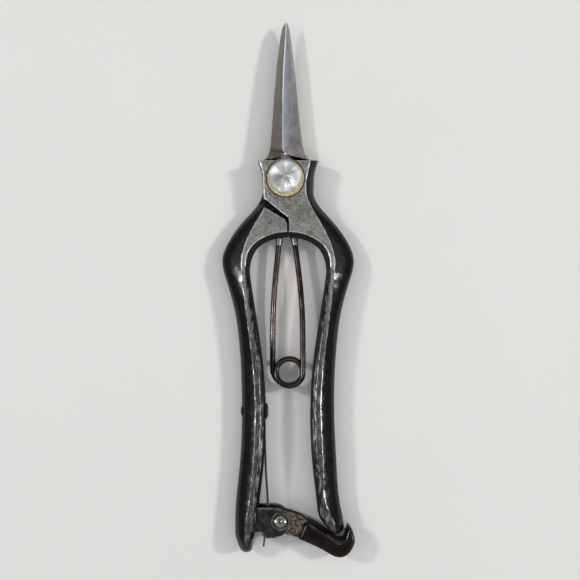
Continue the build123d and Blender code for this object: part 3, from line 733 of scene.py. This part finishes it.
def lap_path(side, rise):
    """Open outline of the lap plate, from the arch's notch round to the shoulder."""
    share = rise**2
    edge = placed(side, mixed(LAP_EDGE, LAP_EDGE_FACE, share))
    far = placed(side, mixed(FAR_EDGE_MID, FAR_EDGE_FACE, share))
    head = placed(side, mixed(HEAD_MID, HEAD_FACE, share))
    lean = mixed(SHOULDER_MID, SHOULDER_FACE, share)
    horn = (head[1][0] - head[0][0], head[1][1] - head[0][1])
    path = evenly(edge, [SEAM_COUNT, LAP_COUNT])
    path += list(spline(far, FAR_COUNT))[1:]
    path += evenly([far[-1], head[0]], [TOP_COUNT])[1:]
    path += list(spline(head, HEAD_COUNT, horn, (side * lean[0], lean[1])))[1:]
    return np.array(path)


def step_path(side, rise):
    """Open outline of the step that the other lever's plate stands against."""
    corners = placed(side, mixed(STEP_MID, STEP_FACE, rise**2))
    return np.array(evenly(corners, [SEAM_COUNT, STEP_COUNT]))


def seated(points):
    """The left handle's wall cut flat where the leaf spring lies."""
    (low, high), (near, far) = LEAF_SEAT, LEAF_SEAT_REACH
    for point in points:
        if low < point[1] < high and near < point[0] < far:
            point[0] = min(point[0], LEAF_SEAT_X)
    return points


def half_rings(shape, side, half, own_path, shared):
    """The skin of one half of a lever: it gives back the two parts of its ring at the mid-plane, and
    its ring on the face. shared is the handle's part of the first, if the other half has made it."""
    rings = []
    for rise in SIDE_RISES:
        handle = handle_path(side, rise)
        if side == LEFT:
            handle = seated(handle)
        own = own_path(side, rise)[1:-1]
        z = MID + half * (rise * (MID - FACE_DROP))
        wear_and_edge_shading = RISE_WEAR.get(rise, 0.0)
        if rise == 0:
            handle_verts = shared or shape.ring(with_z(handle, MID))
            lap_z = MID + half * LAP_CLEARANCE if own_path is lap_path else MID
            rings.append((handle_verts, shape.ring(with_z(own, lap_z), LAP_WEAR)))
        else:
            rings.append((shape.ring(with_z(handle, z), wear_and_edge_shading), shape.ring(with_z(own, z), wear_and_edge_shading)))
        outline = np.concatenate([handle, own])
    top = shape.ring(with_z(inset(outline, FACE_BREAK), MID + half * MID))
    full = [handle_verts + own_verts for handle_verts, own_verts in rings]
    gap = [SEAM] * (SEAM_COUNT + LAP_COUNT if own_path is lap_path else len(own) + 1)
    outside, inside = [SCALE] * OUTSIDE_COUNT, INNER_COUNT + NOTCH_COUNT
    rest = [SCALE] * (len(full[0]) - OUTSIDE_COUNT - inside - len(gap))
    inner_wall = handle[OUTSIDE_COUNT : OUTSIDE_COUNT + inside]
    for a, b, rise in zip(full, full[1:], SIDE_RISES):
        # Inner wall bands below the chamfer take the shaded black wall: painted shade.
        wall = [
            INNER_CHAMFER if rise >= CHAMFER_START and y < ARCH_END else INNER_WALL
            for x, y in inner_wall
        ]
        shape.band(a, b, material=outside + wall + gap + rest)
    edges = [INNER_CHAMFER if y < ARCH_END else WORN for x, y in outline]
    for i in range(OUTSIDE_COUNT):
        if outline[i][1] < RIDGE_END:
            edges[i] = SCALE
    for i in range(NOTCH_COUNT + SEAM_COUNT):
        edges[OUTSIDE_COUNT + INNER_COUNT + i] = SEAM
    shape.band(full[-1], top, material=edges)
    return rings[0], top


def lever(name, side, lap_half, blade_tables):
    """One forged lever: bow, handle and lap plate in one skin, with its blade let into the plate."""
    shape = Shape()
    lap_base, lap_top = half_rings(shape, side, lap_half, lap_path, None)
    plain_base, plain_top = half_rings(shape, side, -lap_half, step_path, lap_base[0])
    shape.fill([plain_top], FLAT)
    lap_z, face_z = MID + lap_half * LAP_CLEARANCE, MID + lap_half * MID
    hole = PIVOT_RADIUS + (LAP_CLEARANCE if lap_half == FRONT else 0)
    levels = [(hole, lap_z, 0.0)]
    if lap_half == FRONT:
        floor_z = face_z - RECESS_DEPTH
        # The recess rim's 1.0 makes a bright line all round it: partly a worn edge, partly a painted
        # highlight.
        levels += [
            (RECESS_RADIUS + RIM_BREAK, face_z, 0.0), (RECESS_RADIUS, face_z - RIM_BREAK, 1.0),
            (RECESS_RADIUS, floor_z, 0.0), (hole, floor_z, 0.0),
        ]
    else:
        levels += [(TAIL_RADIUS, face_z, 0.0), (hole, face_z + TAIL_DEPTH, 0.0)]
    bottom, rim, *walls = (
        shape.ring(with_z(circle((0, 0), radius, ROUND_COUNT), z), wear_and_edge_shading) for radius, z, wear_and_edge_shading in levels
    )
    shape.band(rim, walls[0], material=WORN if lap_half == FRONT else SEAM)
    for a, b in zip(walls, walls[1:] + [bottom]):
        shape.band(a, b, material=SEAM)
    shape.fill([lap_top, rim], FLAT)
    start, end = lap_base[0][-1], lap_base[0][0]
    shape.fill([[start] + lap_base[1] + [end] + plain_base[1][::-1], bottom], SEAM)
    blade(shape, blade_tables, lap_half)
    materials = [
        LACQUER[side], GROUND, EDGE, CREVICE_SHADE, FRONT_FACET, BEVEL_WHITE, BACK_HOLLOW, SHADED_WALL, CHAMFER,
    ]
    return shape.piece(name, name, materials, [name])


SPINE_BREAK = 0.35
HOLLOW_DEPTH = 0.25
HOLLOW_WIDTH = 4.0  # a narrower blade has a shallower hollow
BEVEL_SLOPE = 0.38
HEEL_RISE = 0.25
HEEL_BEVEL = 1.1  # a bevel wider than this belongs to the heel, and is left dull
BLADE_FOOT, BLADE_ROOT, BLADE_TIP = 5.0, 10.0, 53.1
ROOT_STEP, BLADE_COUNT = 0.1, 80
HOLLOW_COUNT, FACET_COUNT = 12, 4
RELIEF_MARGIN = 0.05


def blade(shape, tables, half):
    """A blade: hollow inner face, upright spine, wide outer facet and narrow sharpened bevel."""
    inner_z = MID + half * LAP_CLEARANCE
    heights = list(np.arange(BLADE_FOOT, BLADE_ROOT, ROOT_STEP))
    heights += list(np.linspace(BLADE_ROOT, BLADE_TIP, BLADE_COUNT))
    edge_x, bevel_width, spine_x, thick = (
        np.interp(heights, *np.array(table).T) for table in (*tables, SPINE_THICKNESS)
    )
    rings = []
    for y, edge, bevel, spine, thickness in zip(heights, edge_x, bevel_width, spine_x, thick):
        towards = 1 if spine > edge else -1
        corner = min(SPINE_BREAK, thickness / 3)
        hollow = HOLLOW_DEPTH * min(1.0, abs(spine - edge) / HOLLOW_WIDTH)
        points = []
        for k in range(HOLLOW_COUNT + 1):
            u = k / HOLLOW_COUNT
            x = edge + (spine - edge) * u
            z = inner_z + half * hollow * 4 * u * (1 - u)
            if half == BACK and y < relief_y(x) and x > RELIEF_LINE[0][0]:
                z -= RELIEF_DEPTH
            points.append((x, y, z))
        points.append((spine, y, inner_z + half * (thickness - corner)))
        points.append((spine - towards * corner, y, inner_z + half * thickness))
        start = np.array(points[-1])
        lift = min(BEVEL_SLOPE * bevel, HEEL_RISE)
        crest = np.array((edge + towards * bevel, y, inner_z + half * lift))
        for k in range(1, FACET_COUNT + 1):
            points.append(tuple(start + (crest - start) * k / FACET_COUNT))
        rings.append(shape.ring(points))
    for a, b, y, bevel in zip(rings, rings[1:], heights, bevel_width):
        materials = [HOLLOW] * HOLLOW_COUNT + [FACET] * (FACET_COUNT + 2)
        materials.append(FACET if bevel > HEEL_BEVEL else BEVEL)
        for i, material in enumerate(materials):
            j = (i + 1) % len(a)
            foot = relief_y(a[i].co.x / MM) + RELIEF_MARGIN
            # Faces in the relief notch take the matte near-black seam material: painted shade.
            in_relief = half == BACK and i < HOLLOW_COUNT and y < foot
            shape.face([a[i], a[j], b[j], b[i]], SEAM if in_relief else material)
    for end in (rings[0], rings[-1]):
        shape.face(end, BEVEL)


def relief_y(x):
    """Where the back blade's inner face ends, above the notch that clears the front plate."""
    (x0, y0), (x1, y1) = RELIEF_LINE
    return y0 + (y1 - y0) * (x - x0) / (x1 - x0)


lever("lower_lever", LEFT, BACK, (BACK_EDGE, BACK_BEVEL, BACK_SPINE))
lever("upper_lever", RIGHT, FRONT, (FRONT_EDGE, FRONT_BEVEL, FRONT_SPINE))


# ---- pivot ----
HEAD_RADIUS = 5.5
HEAD_OFFSET = (0.0, 0.45)
HEAD_BOTTOM = THICKNESS + 0.1
HEAD_RIM = HEAD_BOTTOM + 0.75
HEAD_TOP = HEAD_BOTTOM + 1.5
PIVOT_COUNT, HEAD_RINGS = 96, 16
FOOT_BREAK = 0.15
HEAD_LIP = 0.22  # the upright side ends this far below the rim
RIM_CUTS = [(0.1, 0.1), (0.03, 0.0)]  # in from the radius, and down from the rim
CROWN_START = 0.25  # the crown begins this far in from the radius
WASHER_RADIUS = 6.2
WASHER_THICKNESS = 0.55
WASHER_BREAK = 0.25


def dome(radius, rim, top):
    """Profile of a shallow dome from its rounded rim to its crown."""
    rise = top - rim
    ball = (radius**2 + rise**2) / (2 * rise)
    # The rim's 1.0 and the first crown ring's 0.5 darken the head's rounded rim in its steel: painted
    # shade.
    profile = [(radius - inward, rim - down, 1.0) for inward, down in RIM_CUTS]
    for k in range(1, HEAD_RINGS + 1):
        r = (radius - CROWN_START) * (1 - k / HEAD_RINGS)
        profile.append((r, top - ball + math.sqrt(ball**2 - r**2), 0.5 if k == 1 else 0.0))
    return profile


shape = Shape()
stem = [(0, 0, 0), (TAIL_RADIUS, 0, 0.5), (PIVOT_RADIUS, TAIL_DEPTH, 0), (PIVOT_RADIUS, HEAD_BOTTOM, 0)]
lathe(shape, stem, Matrix.Identity(4))
# The head's values on its side and rim paint a shade on its rounded edge.
lathe(
    shape,
    [(0, HEAD_BOTTOM, 0), (HEAD_RADIUS - FOOT_BREAK, HEAD_BOTTOM, 0),
     (HEAD_RADIUS, HEAD_BOTTOM + FOOT_BREAK, 0.2), (HEAD_RADIUS, HEAD_RIM - HEAD_LIP, 0.5)]
    + dome(HEAD_RADIUS, HEAD_RIM, HEAD_TOP),
    Matrix.Translation((*HEAD_OFFSET, 0)), PIVOT_COUNT,
)
shape.piece("pivot_rivet", "lower_lever", [HEAD_STEEL], ["pivot_rivet"])

shape = Shape()
washer_low = HEAD_BOTTOM - WASHER_THICKNESS
lathe(
    shape,
    [(PIVOT_RADIUS, HEAD_BOTTOM, 0), (PIVOT_RADIUS, washer_low, 0), (WASHER_RADIUS, washer_low, 0),
     (WASHER_RADIUS, HEAD_BOTTOM - WASHER_BREAK, 0.2), (WASHER_RADIUS - WASHER_BREAK, HEAD_BOTTOM, 0.8),
     (PIVOT_RADIUS, HEAD_BOTTOM, 0)],
    Matrix.Identity(4), PIVOT_COUNT,
)
bmesh.ops.remove_doubles(shape.bm, verts=shape.bm.verts, dist=MERGED)
shape.piece("pivot_washer", "lower_lever", [BRASS], ["pivot_washer"])


# ---- torsion spring ----
COIL = (1.3, -64.95)
COIL_RADIUS = 4.5
WIRE_RADIUS = 0.95
PITCH = 2.1
ENTRY_RADIUS = 5.65
LEFT_SEAT = (-2.05, -20.0)
RIGHT_SEAT = (2.95, -20.0)
LEFT_BEND = (-4.05, -42.0)
RIGHT_BEND = (5.48, -42.5)
RISE = PITCH / 360  # of the wire, for each degree of turn
LEG_TURN = 270  # degrees of turn from the middle of the coil to either leg
LEG_COUNT, ENTRY_COUNT, COIL_COUNT = 60, 12, 75


def spring_path():
    """The wire from the left seat down, one and a half turns of coil, and up to the right seat."""
    entry = (COIL[0] - ENTRY_RADIUS, COIL[1] - COIL_RADIUS + ENTRY_RADIUS)
    low, high = MID - LEG_TURN * RISE, MID + LEG_TURN * RISE
    left = [(*LEFT_SEAT, MID), (*LEFT_BEND, (MID + low) / 2), (*entry, low)]
    path = list(spline(left, LEG_COUNT, None, (0, -1, 0)))
    centre_y = entry[1]
    for k in range(1, ENTRY_COUNT + 1):
        angle = math.radians(180 + 90 * k / ENTRY_COUNT)
        path.append((
            COIL[0] + ENTRY_RADIUS * math.cos(angle), centre_y + ENTRY_RADIUS * math.sin(angle),
            low + 90 * RISE * k / ENTRY_COUNT,
        ))
    for k in range(1, COIL_COUNT + 1):
        angle = -90 + 450 * k / COIL_COUNT
        path.append((
            COIL[0] + COIL_RADIUS * math.cos(math.radians(angle)),
            COIL[1] + COIL_RADIUS * math.sin(math.radians(angle)),
            MID + (angle - 90) * RISE,
        ))
    right = [(*RIGHT_SEAT, MID), (*RIGHT_BEND, (MID + high) / 2), (COIL[0] + COIL_RADIUS, COIL[1], high)]
    return path + list(spline(right, LEG_COUNT, None, (0, -1, 0)))[::-1][1:]


WIRE_PATH = spring_path()
shape = Shape()
tube(shape, WIRE_PATH, WIRE_RADIUS)
spring = shape.piece(
    "torsion_spring", None, [WIRE], ["spring_left_arm", "spring_right_arm"]
)
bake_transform(spring)

SEAT_RADIUS = 1.2
FERRULE_LENGTH = 2.1
FERRULE_MOUTH = 1.1
FERRULE_BREAK = 0.1
FERRULE_FLOOR = 0.05
FERRULE_BORE = WIRE_RADIUS * 0.98
BALL_COUNT = 8
for node, body, first, second in (
    ("left_spring_ferrule", "spring_left", WIRE_PATH[0], WIRE_PATH[2]),
    ("right_spring_ferrule", "spring_right", WIRE_PATH[-1], WIRE_PATH[-3]),
):
    along = Vector(second) - Vector(first)
    place = Matrix.Translation(first) @ along.to_track_quat("Z", "Y").to_matrix().to_4x4()
    ball = [
        (SEAT_RADIUS * math.sin(a), -SEAT_RADIUS * math.cos(a), 0.0)
        for a in (math.pi / 2 * k / BALL_COUNT for k in range(BALL_COUNT + 1))
    ]
    sleeve = [
        (FERRULE_MOUTH, FERRULE_LENGTH - FERRULE_BREAK, 0.3),
        (FERRULE_MOUTH - FERRULE_BREAK, FERRULE_LENGTH, 1.0), (FERRULE_BORE, FERRULE_LENGTH, 0.0),
        (FERRULE_BORE, FERRULE_FLOOR, 0.0), (0, FERRULE_FLOOR, 0.0),
    ]
    shape = Shape()
    lathe(shape, ball + sleeve, place, 40)
    shape.piece(node, body, [FERRULE], [node])


# ---- latch bracket ----
BRACKET_LOW, BRACKET_HIGH, SHEET = MID - 3.0, MID + 3.0, 1.0
ROOT_X, BRACKET_TOP, BRACKET_STEP = -11.8, -110.0, -118.1
FOLD_INSET = 0.05  # keeps the fold's faces off the cheeks' edges
FOLD_SINK = 0.5  # how far the fold runs into each cheek
PIN_RADIUS = 1.6
lobe = spline(
    [(-3.6, BRACKET_TOP), (-0.6, -111.1), (1.3, -113.8), (1.3, -116.4), (-0.5, -118.8), (-3.4, -120.0),
     (-7.0, -120.2)], 60, (1, 0), (-1, 0),
)
outline = list(lobe) + list(
    straight([(-7.0, -120.2), (-7.7, -119.3), (-7.7, BRACKET_STEP), (ROOT_X, BRACKET_STEP),
              (ROOT_X, BRACKET_TOP), (-3.6, BRACKET_TOP)], 0.7)
)[1:-1]
shape = Shape()
for low in (BRACKET_LOW, BRACKET_HIGH - SHEET):
    prism(shape, outline, low, low + SHEET, 0.22, 3, hole=(LATCH_PIVOT, PIN_RADIUS), margin=0.35)
foot, brow = BRACKET_STEP + FOLD_INSET, BRACKET_TOP - FOLD_INSET
fold = [(ROOT_X, brow), (ROOT_X + SHEET, brow), (ROOT_X + SHEET, foot), (ROOT_X, foot)]
fold = straight(fold + fold[:1], 1.0)[:-1]
prism(shape, fold, BRACKET_LOW + FOLD_SINK, BRACKET_HIGH - FOLD_SINK, 0.05, 1)
shape.piece("latch_bracket", "lower_lever", [BRACKET], ["latch_bracket"])


# ---- latch hook ----
TONGUE_DEPTH, HOOK_DEPTH = 3.7, 6.6
TONGUE_COUNT, ARM_COUNT = 24, 90
BORE_GAP = 0.05
tongue = list(spline(
    [(-2.9, -117.85), (-4.55, -116.55), (-5.3, -114.4), (-4.35, -112.1), (-1.9, -110.8)], TONGUE_COUNT))
tongue += list(spline(
    [(-1.9, -110.8), (1.1, -111.6), (6.6, -114.1), (9.5, -117.5)], TONGUE_COUNT))[1:]
tongue += list(straight([(9.5, -117.5), (6.0, -120.7), (0.9, -119.5), (-2.9, -117.85)], 0.8))[1:-1]
arm = list(spline(
    [(6.5, -115.4), (7.6, -114.8), (9.0, -115.3), (12.7, -117.7), (16.4, -120.2), (17.8, -121.1),
     (19.0, -121.1), (19.95, -120.0), (20.5, -118.3), (20.95, -116.3)], ARM_COUNT))
arm += list(spline(
    [(20.95, -116.3), (22.5, -118.4), (23.2, -121.2), (22.2, -124.0), (19.8, -126.3), (17.6, -126.6),
     (13.3, -124.6), (8.5, -122.2), (4.3, -120.4)], ARM_COUNT))[1:]
arm += list(straight([(4.3, -120.4), (6.5, -115.4)], 0.5))[1:-1]
shape = Shape()
prism(shape, tongue, MID - TONGUE_DEPTH / 2, MID + TONGUE_DEPTH / 2, 0.3, 3, side=1, top=1, wall=2,
      hole=(LATCH_PIVOT, PIN_RADIUS + BORE_GAP))
# worn=0.3 lightens the arm's rounded edges: partly worn steel, partly a painted highlight. Its upright
# band takes the shaded black wall, a painted shade.
prism(shape, arm, MID - HOOK_DEPTH / 2, MID + HOOK_DEPTH / 2, 0.95, 6, wall=2, worn=0.3, margin=0.4)
shape.piece("latch_hook", "latch_hook", [HOOK_BLACK, HOOK_NECK, SHADED_WALL], ["latch_hook"])


# ---- latch rivet and washer ----
DOME_RADIUS, DOME_BASE, DOME_TOP = 2.65, BRACKET_HIGH + 0.4, 9.5
DOME_LIP = 0.2  # the upright edge below the dome
DOME_RINGS, LATCH_COUNT = 14, 64
CLENCH = [(0, 0.6, 0), (1.4, 0.6, 0.3), (2.1, 0.85, 0.5), (2.3, 1.15, 0.3), (2.3, BRACKET_LOW, 0)]
at_latch = Matrix.Translation((*LATCH_PIVOT[:2], 0))
shape = Shape()
crown_low = DOME_BASE + DOME_LIP
crown = [
    (DOME_RADIUS * math.cos(a), crown_low + (DOME_TOP - DOME_BASE - DOME_LIP) * math.sin(a), 0.0)
    for a in (math.pi / 2 * k / DOME_RINGS for k in range(1, DOME_RINGS))
]
pin = [
    (PIN_RADIUS, BRACKET_LOW, 0), (PIN_RADIUS, DOME_BASE, 0), (DOME_RADIUS, DOME_BASE, 0.2),
    (DOME_RADIUS, crown_low, 0.5),
]
lathe(shape, CLENCH + pin + crown + [(0, DOME_TOP, 0)], at_latch, LATCH_COUNT)
shape.piece("latch_rivet", "lower_lever", [DOME_STEEL], ["latch_rivet"])

shape = Shape()
lathe(
    shape,
    [(PIN_RADIUS, DOME_BASE, 0), (PIN_RADIUS, BRACKET_HIGH, 0), (3.2, BRACKET_HIGH, 0),
     (3.2, DOME_BASE - 0.12, 0.2), (3.08, DOME_BASE, 0.4), (PIN_RADIUS, DOME_BASE, 0)],
    at_latch, LATCH_COUNT,
)
bmesh.ops.remove_doubles(shape.bm, verts=shape.bm.verts, dist=MERGED)
shape.piece("latch_washer", "lower_lever", [LATCH_WASHER], ["latch_washer"])


# ---- leaf spring and its rivet ----
LEAF_THICKNESS, LEAF_WIDTH, LEAF_TOP = 0.6, 3.4, -73.0
LEAF_BEND = [
    (LEAF_SEAT_X, -86.0), (-7.15, -92.0), (-6.9, -98.5), (-6.35, -108.0), (-6.35, -112.5),
    (-7.0, -118.0), (-7.7, -123.3),
]
back = list(straight([(LEAF_SEAT_X, LEAF_TOP), LEAF_BEND[0]], 0.8))
back += list(spline(LEAF_BEND, 60, (0, -1), (-0.13, -1)))[1:]
outline = [np.array(p) for p in back] + [np.array(p) + (LEAF_THICKNESS, 0) for p in back[::-1]]
shape = Shape()
prism(shape, outline, MID - LEAF_WIDTH / 2, MID + LEAF_WIDTH / 2, 0.1, 2)
shape.piece("leaf_spring", "lower_lever", [BLUED], ["leaf_spring"])

LEAF_RIVET_Y, LEAF_PIN, LEAF_DOME, LEAF_DOME_HEIGHT = -78.0, 1.1, 2.7, 0.95
LEAF_LIP, LEAF_RINGS = 0.2, 10
TAIL_X, TAIL_TIP_X, LEAF_TAIL = -14.2, -15.1, 1.7
face_x = LEAF_SEAT_X + LEAF_THICKNESS
along_x = Matrix.Translation((0, LEAF_RIVET_Y, MID)) @ Matrix.Rotation(math.pi / 2, 4, "Y")
leaf_dome = [
    (LEAF_DOME * math.cos(a), face_x + LEAF_LIP + (LEAF_DOME_HEIGHT - LEAF_LIP) * math.sin(a), 0.3)
    for a in (math.pi / 2 * k / LEAF_RINGS for k in range(LEAF_RINGS))
]
shape = Shape()
lathe(
    shape,
    [(0, TAIL_TIP_X, 0), (LEAF_TAIL * 0.6, TAIL_TIP_X + 0.05, 0.3), (LEAF_TAIL, TAIL_TIP_X + 0.4, 0.3),
     (LEAF_TAIL, TAIL_X, 0), (LEAF_PIN, TAIL_X, 0), (LEAF_PIN, face_x, 0), (LEAF_DOME, face_x, 0)]
    + leaf_dome + [(0, face_x + LEAF_DOME_HEIGHT, 0.3)],
    along_x, 48,
)
shape.piece("leaf_rivet", "lower_lever", [BLUED], ["leaf_rivet"])


# ---- floor, light and camera ----
FLOOR_SIZE = 3000
VIEW_CENTRE = (1.5, -37.2)
VIEW_HEIGHT = 250.0
VIEW_WIDTH = 195.9
SENSOR = 36.0
LAMP_DISTANCE = 1.3
LAMP_COLOUR = (1.0, 0.985, 0.97)
SKY_COLOUR = (0.97, 0.985, 1.0)
# The room's radiance by height: dull walls, a bright band of ceiling, and a dark patch overhead.
ROOM = [(0.0, 0.16), (0.5, 0.18), (0.64, 1.02), (0.87, 1.02), (0.94, 0.28), (1.0, 0.2)]

floor_shape = Shape()
reach = FLOOR_SIZE / 2
floor_shape.face(floor_shape.ring(
    [(-reach, -reach, 0), (reach, -reach, 0), (reach, reach, 0), (-reach, reach, 0)]))
floor_mesh = bpy.data.meshes.new("floor")
floor_shape.bm.to_mesh(floor_mesh)
floor_shape.bm.free()
paper = Finish("pale_paper", 0.0, 0.75)
paper.set("Base Color", paper.mix(paper.noise(60, 2), (0.635, 0.625, 0.61), (0.66, 0.65, 0.635)))
paper.bump(paper.noise(1.2, 3), 0.05, 0.05)
floor_mesh.materials.append(paper.material)
floor = added("floor", floor_mesh)


def soft_light(name, direction, size, power, glossy=True, diffuse=True):
    """A square softbox that faces the middle of the view, seen by one kind of ray or by both."""
    aim = Vector((*VIEW_CENTRE, 0)) * MM
    data = bpy.data.lights.new(name, "AREA")
    data.size = size
    data.energy = power
    data.color = LAMP_COLOUR
    obj = added(name, data)
    obj.location = aim + Vector(direction).normalized() * LAMP_DISTANCE
    obj.rotation_euler = (aim - obj.location).to_track_quat("-Z", "Y").to_euler()
    obj.visible_glossy = glossy
    obj.visible_diffuse = diffuse


soft_light("left_softbox", (-6.5, 2.8, 5.45), 0.11, 5.8, glossy=False)
soft_light("right_softbox", (6.2, 1.7, 5.1), 0.12, 7.6, glossy=False)
soft_light("left_window", (-6.5, -1.2, 6.4), 0.12, 10.0, diffuse=False)
soft_light("right_window", (6.5, -1.7, 6.4), 0.12, 7.0, diffuse=False)
soft_light("high_lamp", (0.14, -0.12, 0.98), 0.14, 0.8)

world = bpy.data.worlds.new("studio")
world.use_nodes = True
sky_nodes, sky_links = world.node_tree.nodes, world.node_tree.links
split = sky_nodes.new("ShaderNodeSeparateXYZ")
sky_links.new(sky_nodes.new("ShaderNodeTexCoord").outputs["Generated"], split.inputs[0])
ramp = sky_nodes.new("ShaderNodeFloatCurve")
curve = ramp.mapping.curves[0]
top_level = max(level for height, level in ROOM)
curve.points[0].location = (ROOM[0][0], ROOM[0][1] / top_level)
curve.points[1].location = (ROOM[-1][0], ROOM[-1][1] / top_level)
for height, level in ROOM[1:-1]:
    curve.points.new(height, level / top_level)
for point in curve.points:
    point.handle_type = "VECTOR"
ramp.mapping.update()
sky_links.new(split.outputs["Z"], ramp.inputs["Value"])
strength = sky_nodes.new("ShaderNodeMath")
strength.operation = "MULTIPLY"
sky_links.new(ramp.outputs["Value"], strength.inputs[0])
strength.inputs[1].default_value = top_level
background = sky_nodes["Background"]
background.inputs["Color"].default_value = (*SKY_COLOUR, 1)
sky_links.new(strength.outputs[0], background.inputs["Strength"])
bpy.context.scene.world = world
bpy.context.scene.view_settings.view_transform = "Standard"

camera_data = bpy.data.cameras.new("camera")
camera_data.sensor_width = SENSOR
camera_data.lens = SENSOR * VIEW_HEIGHT / VIEW_WIDTH
camera_data.clip_start = 0.01
camera = added("camera", camera_data)
camera.location = Vector((*VIEW_CENTRE, MID + VIEW_HEIGHT)) * MM
bpy.context.scene.camera = camera
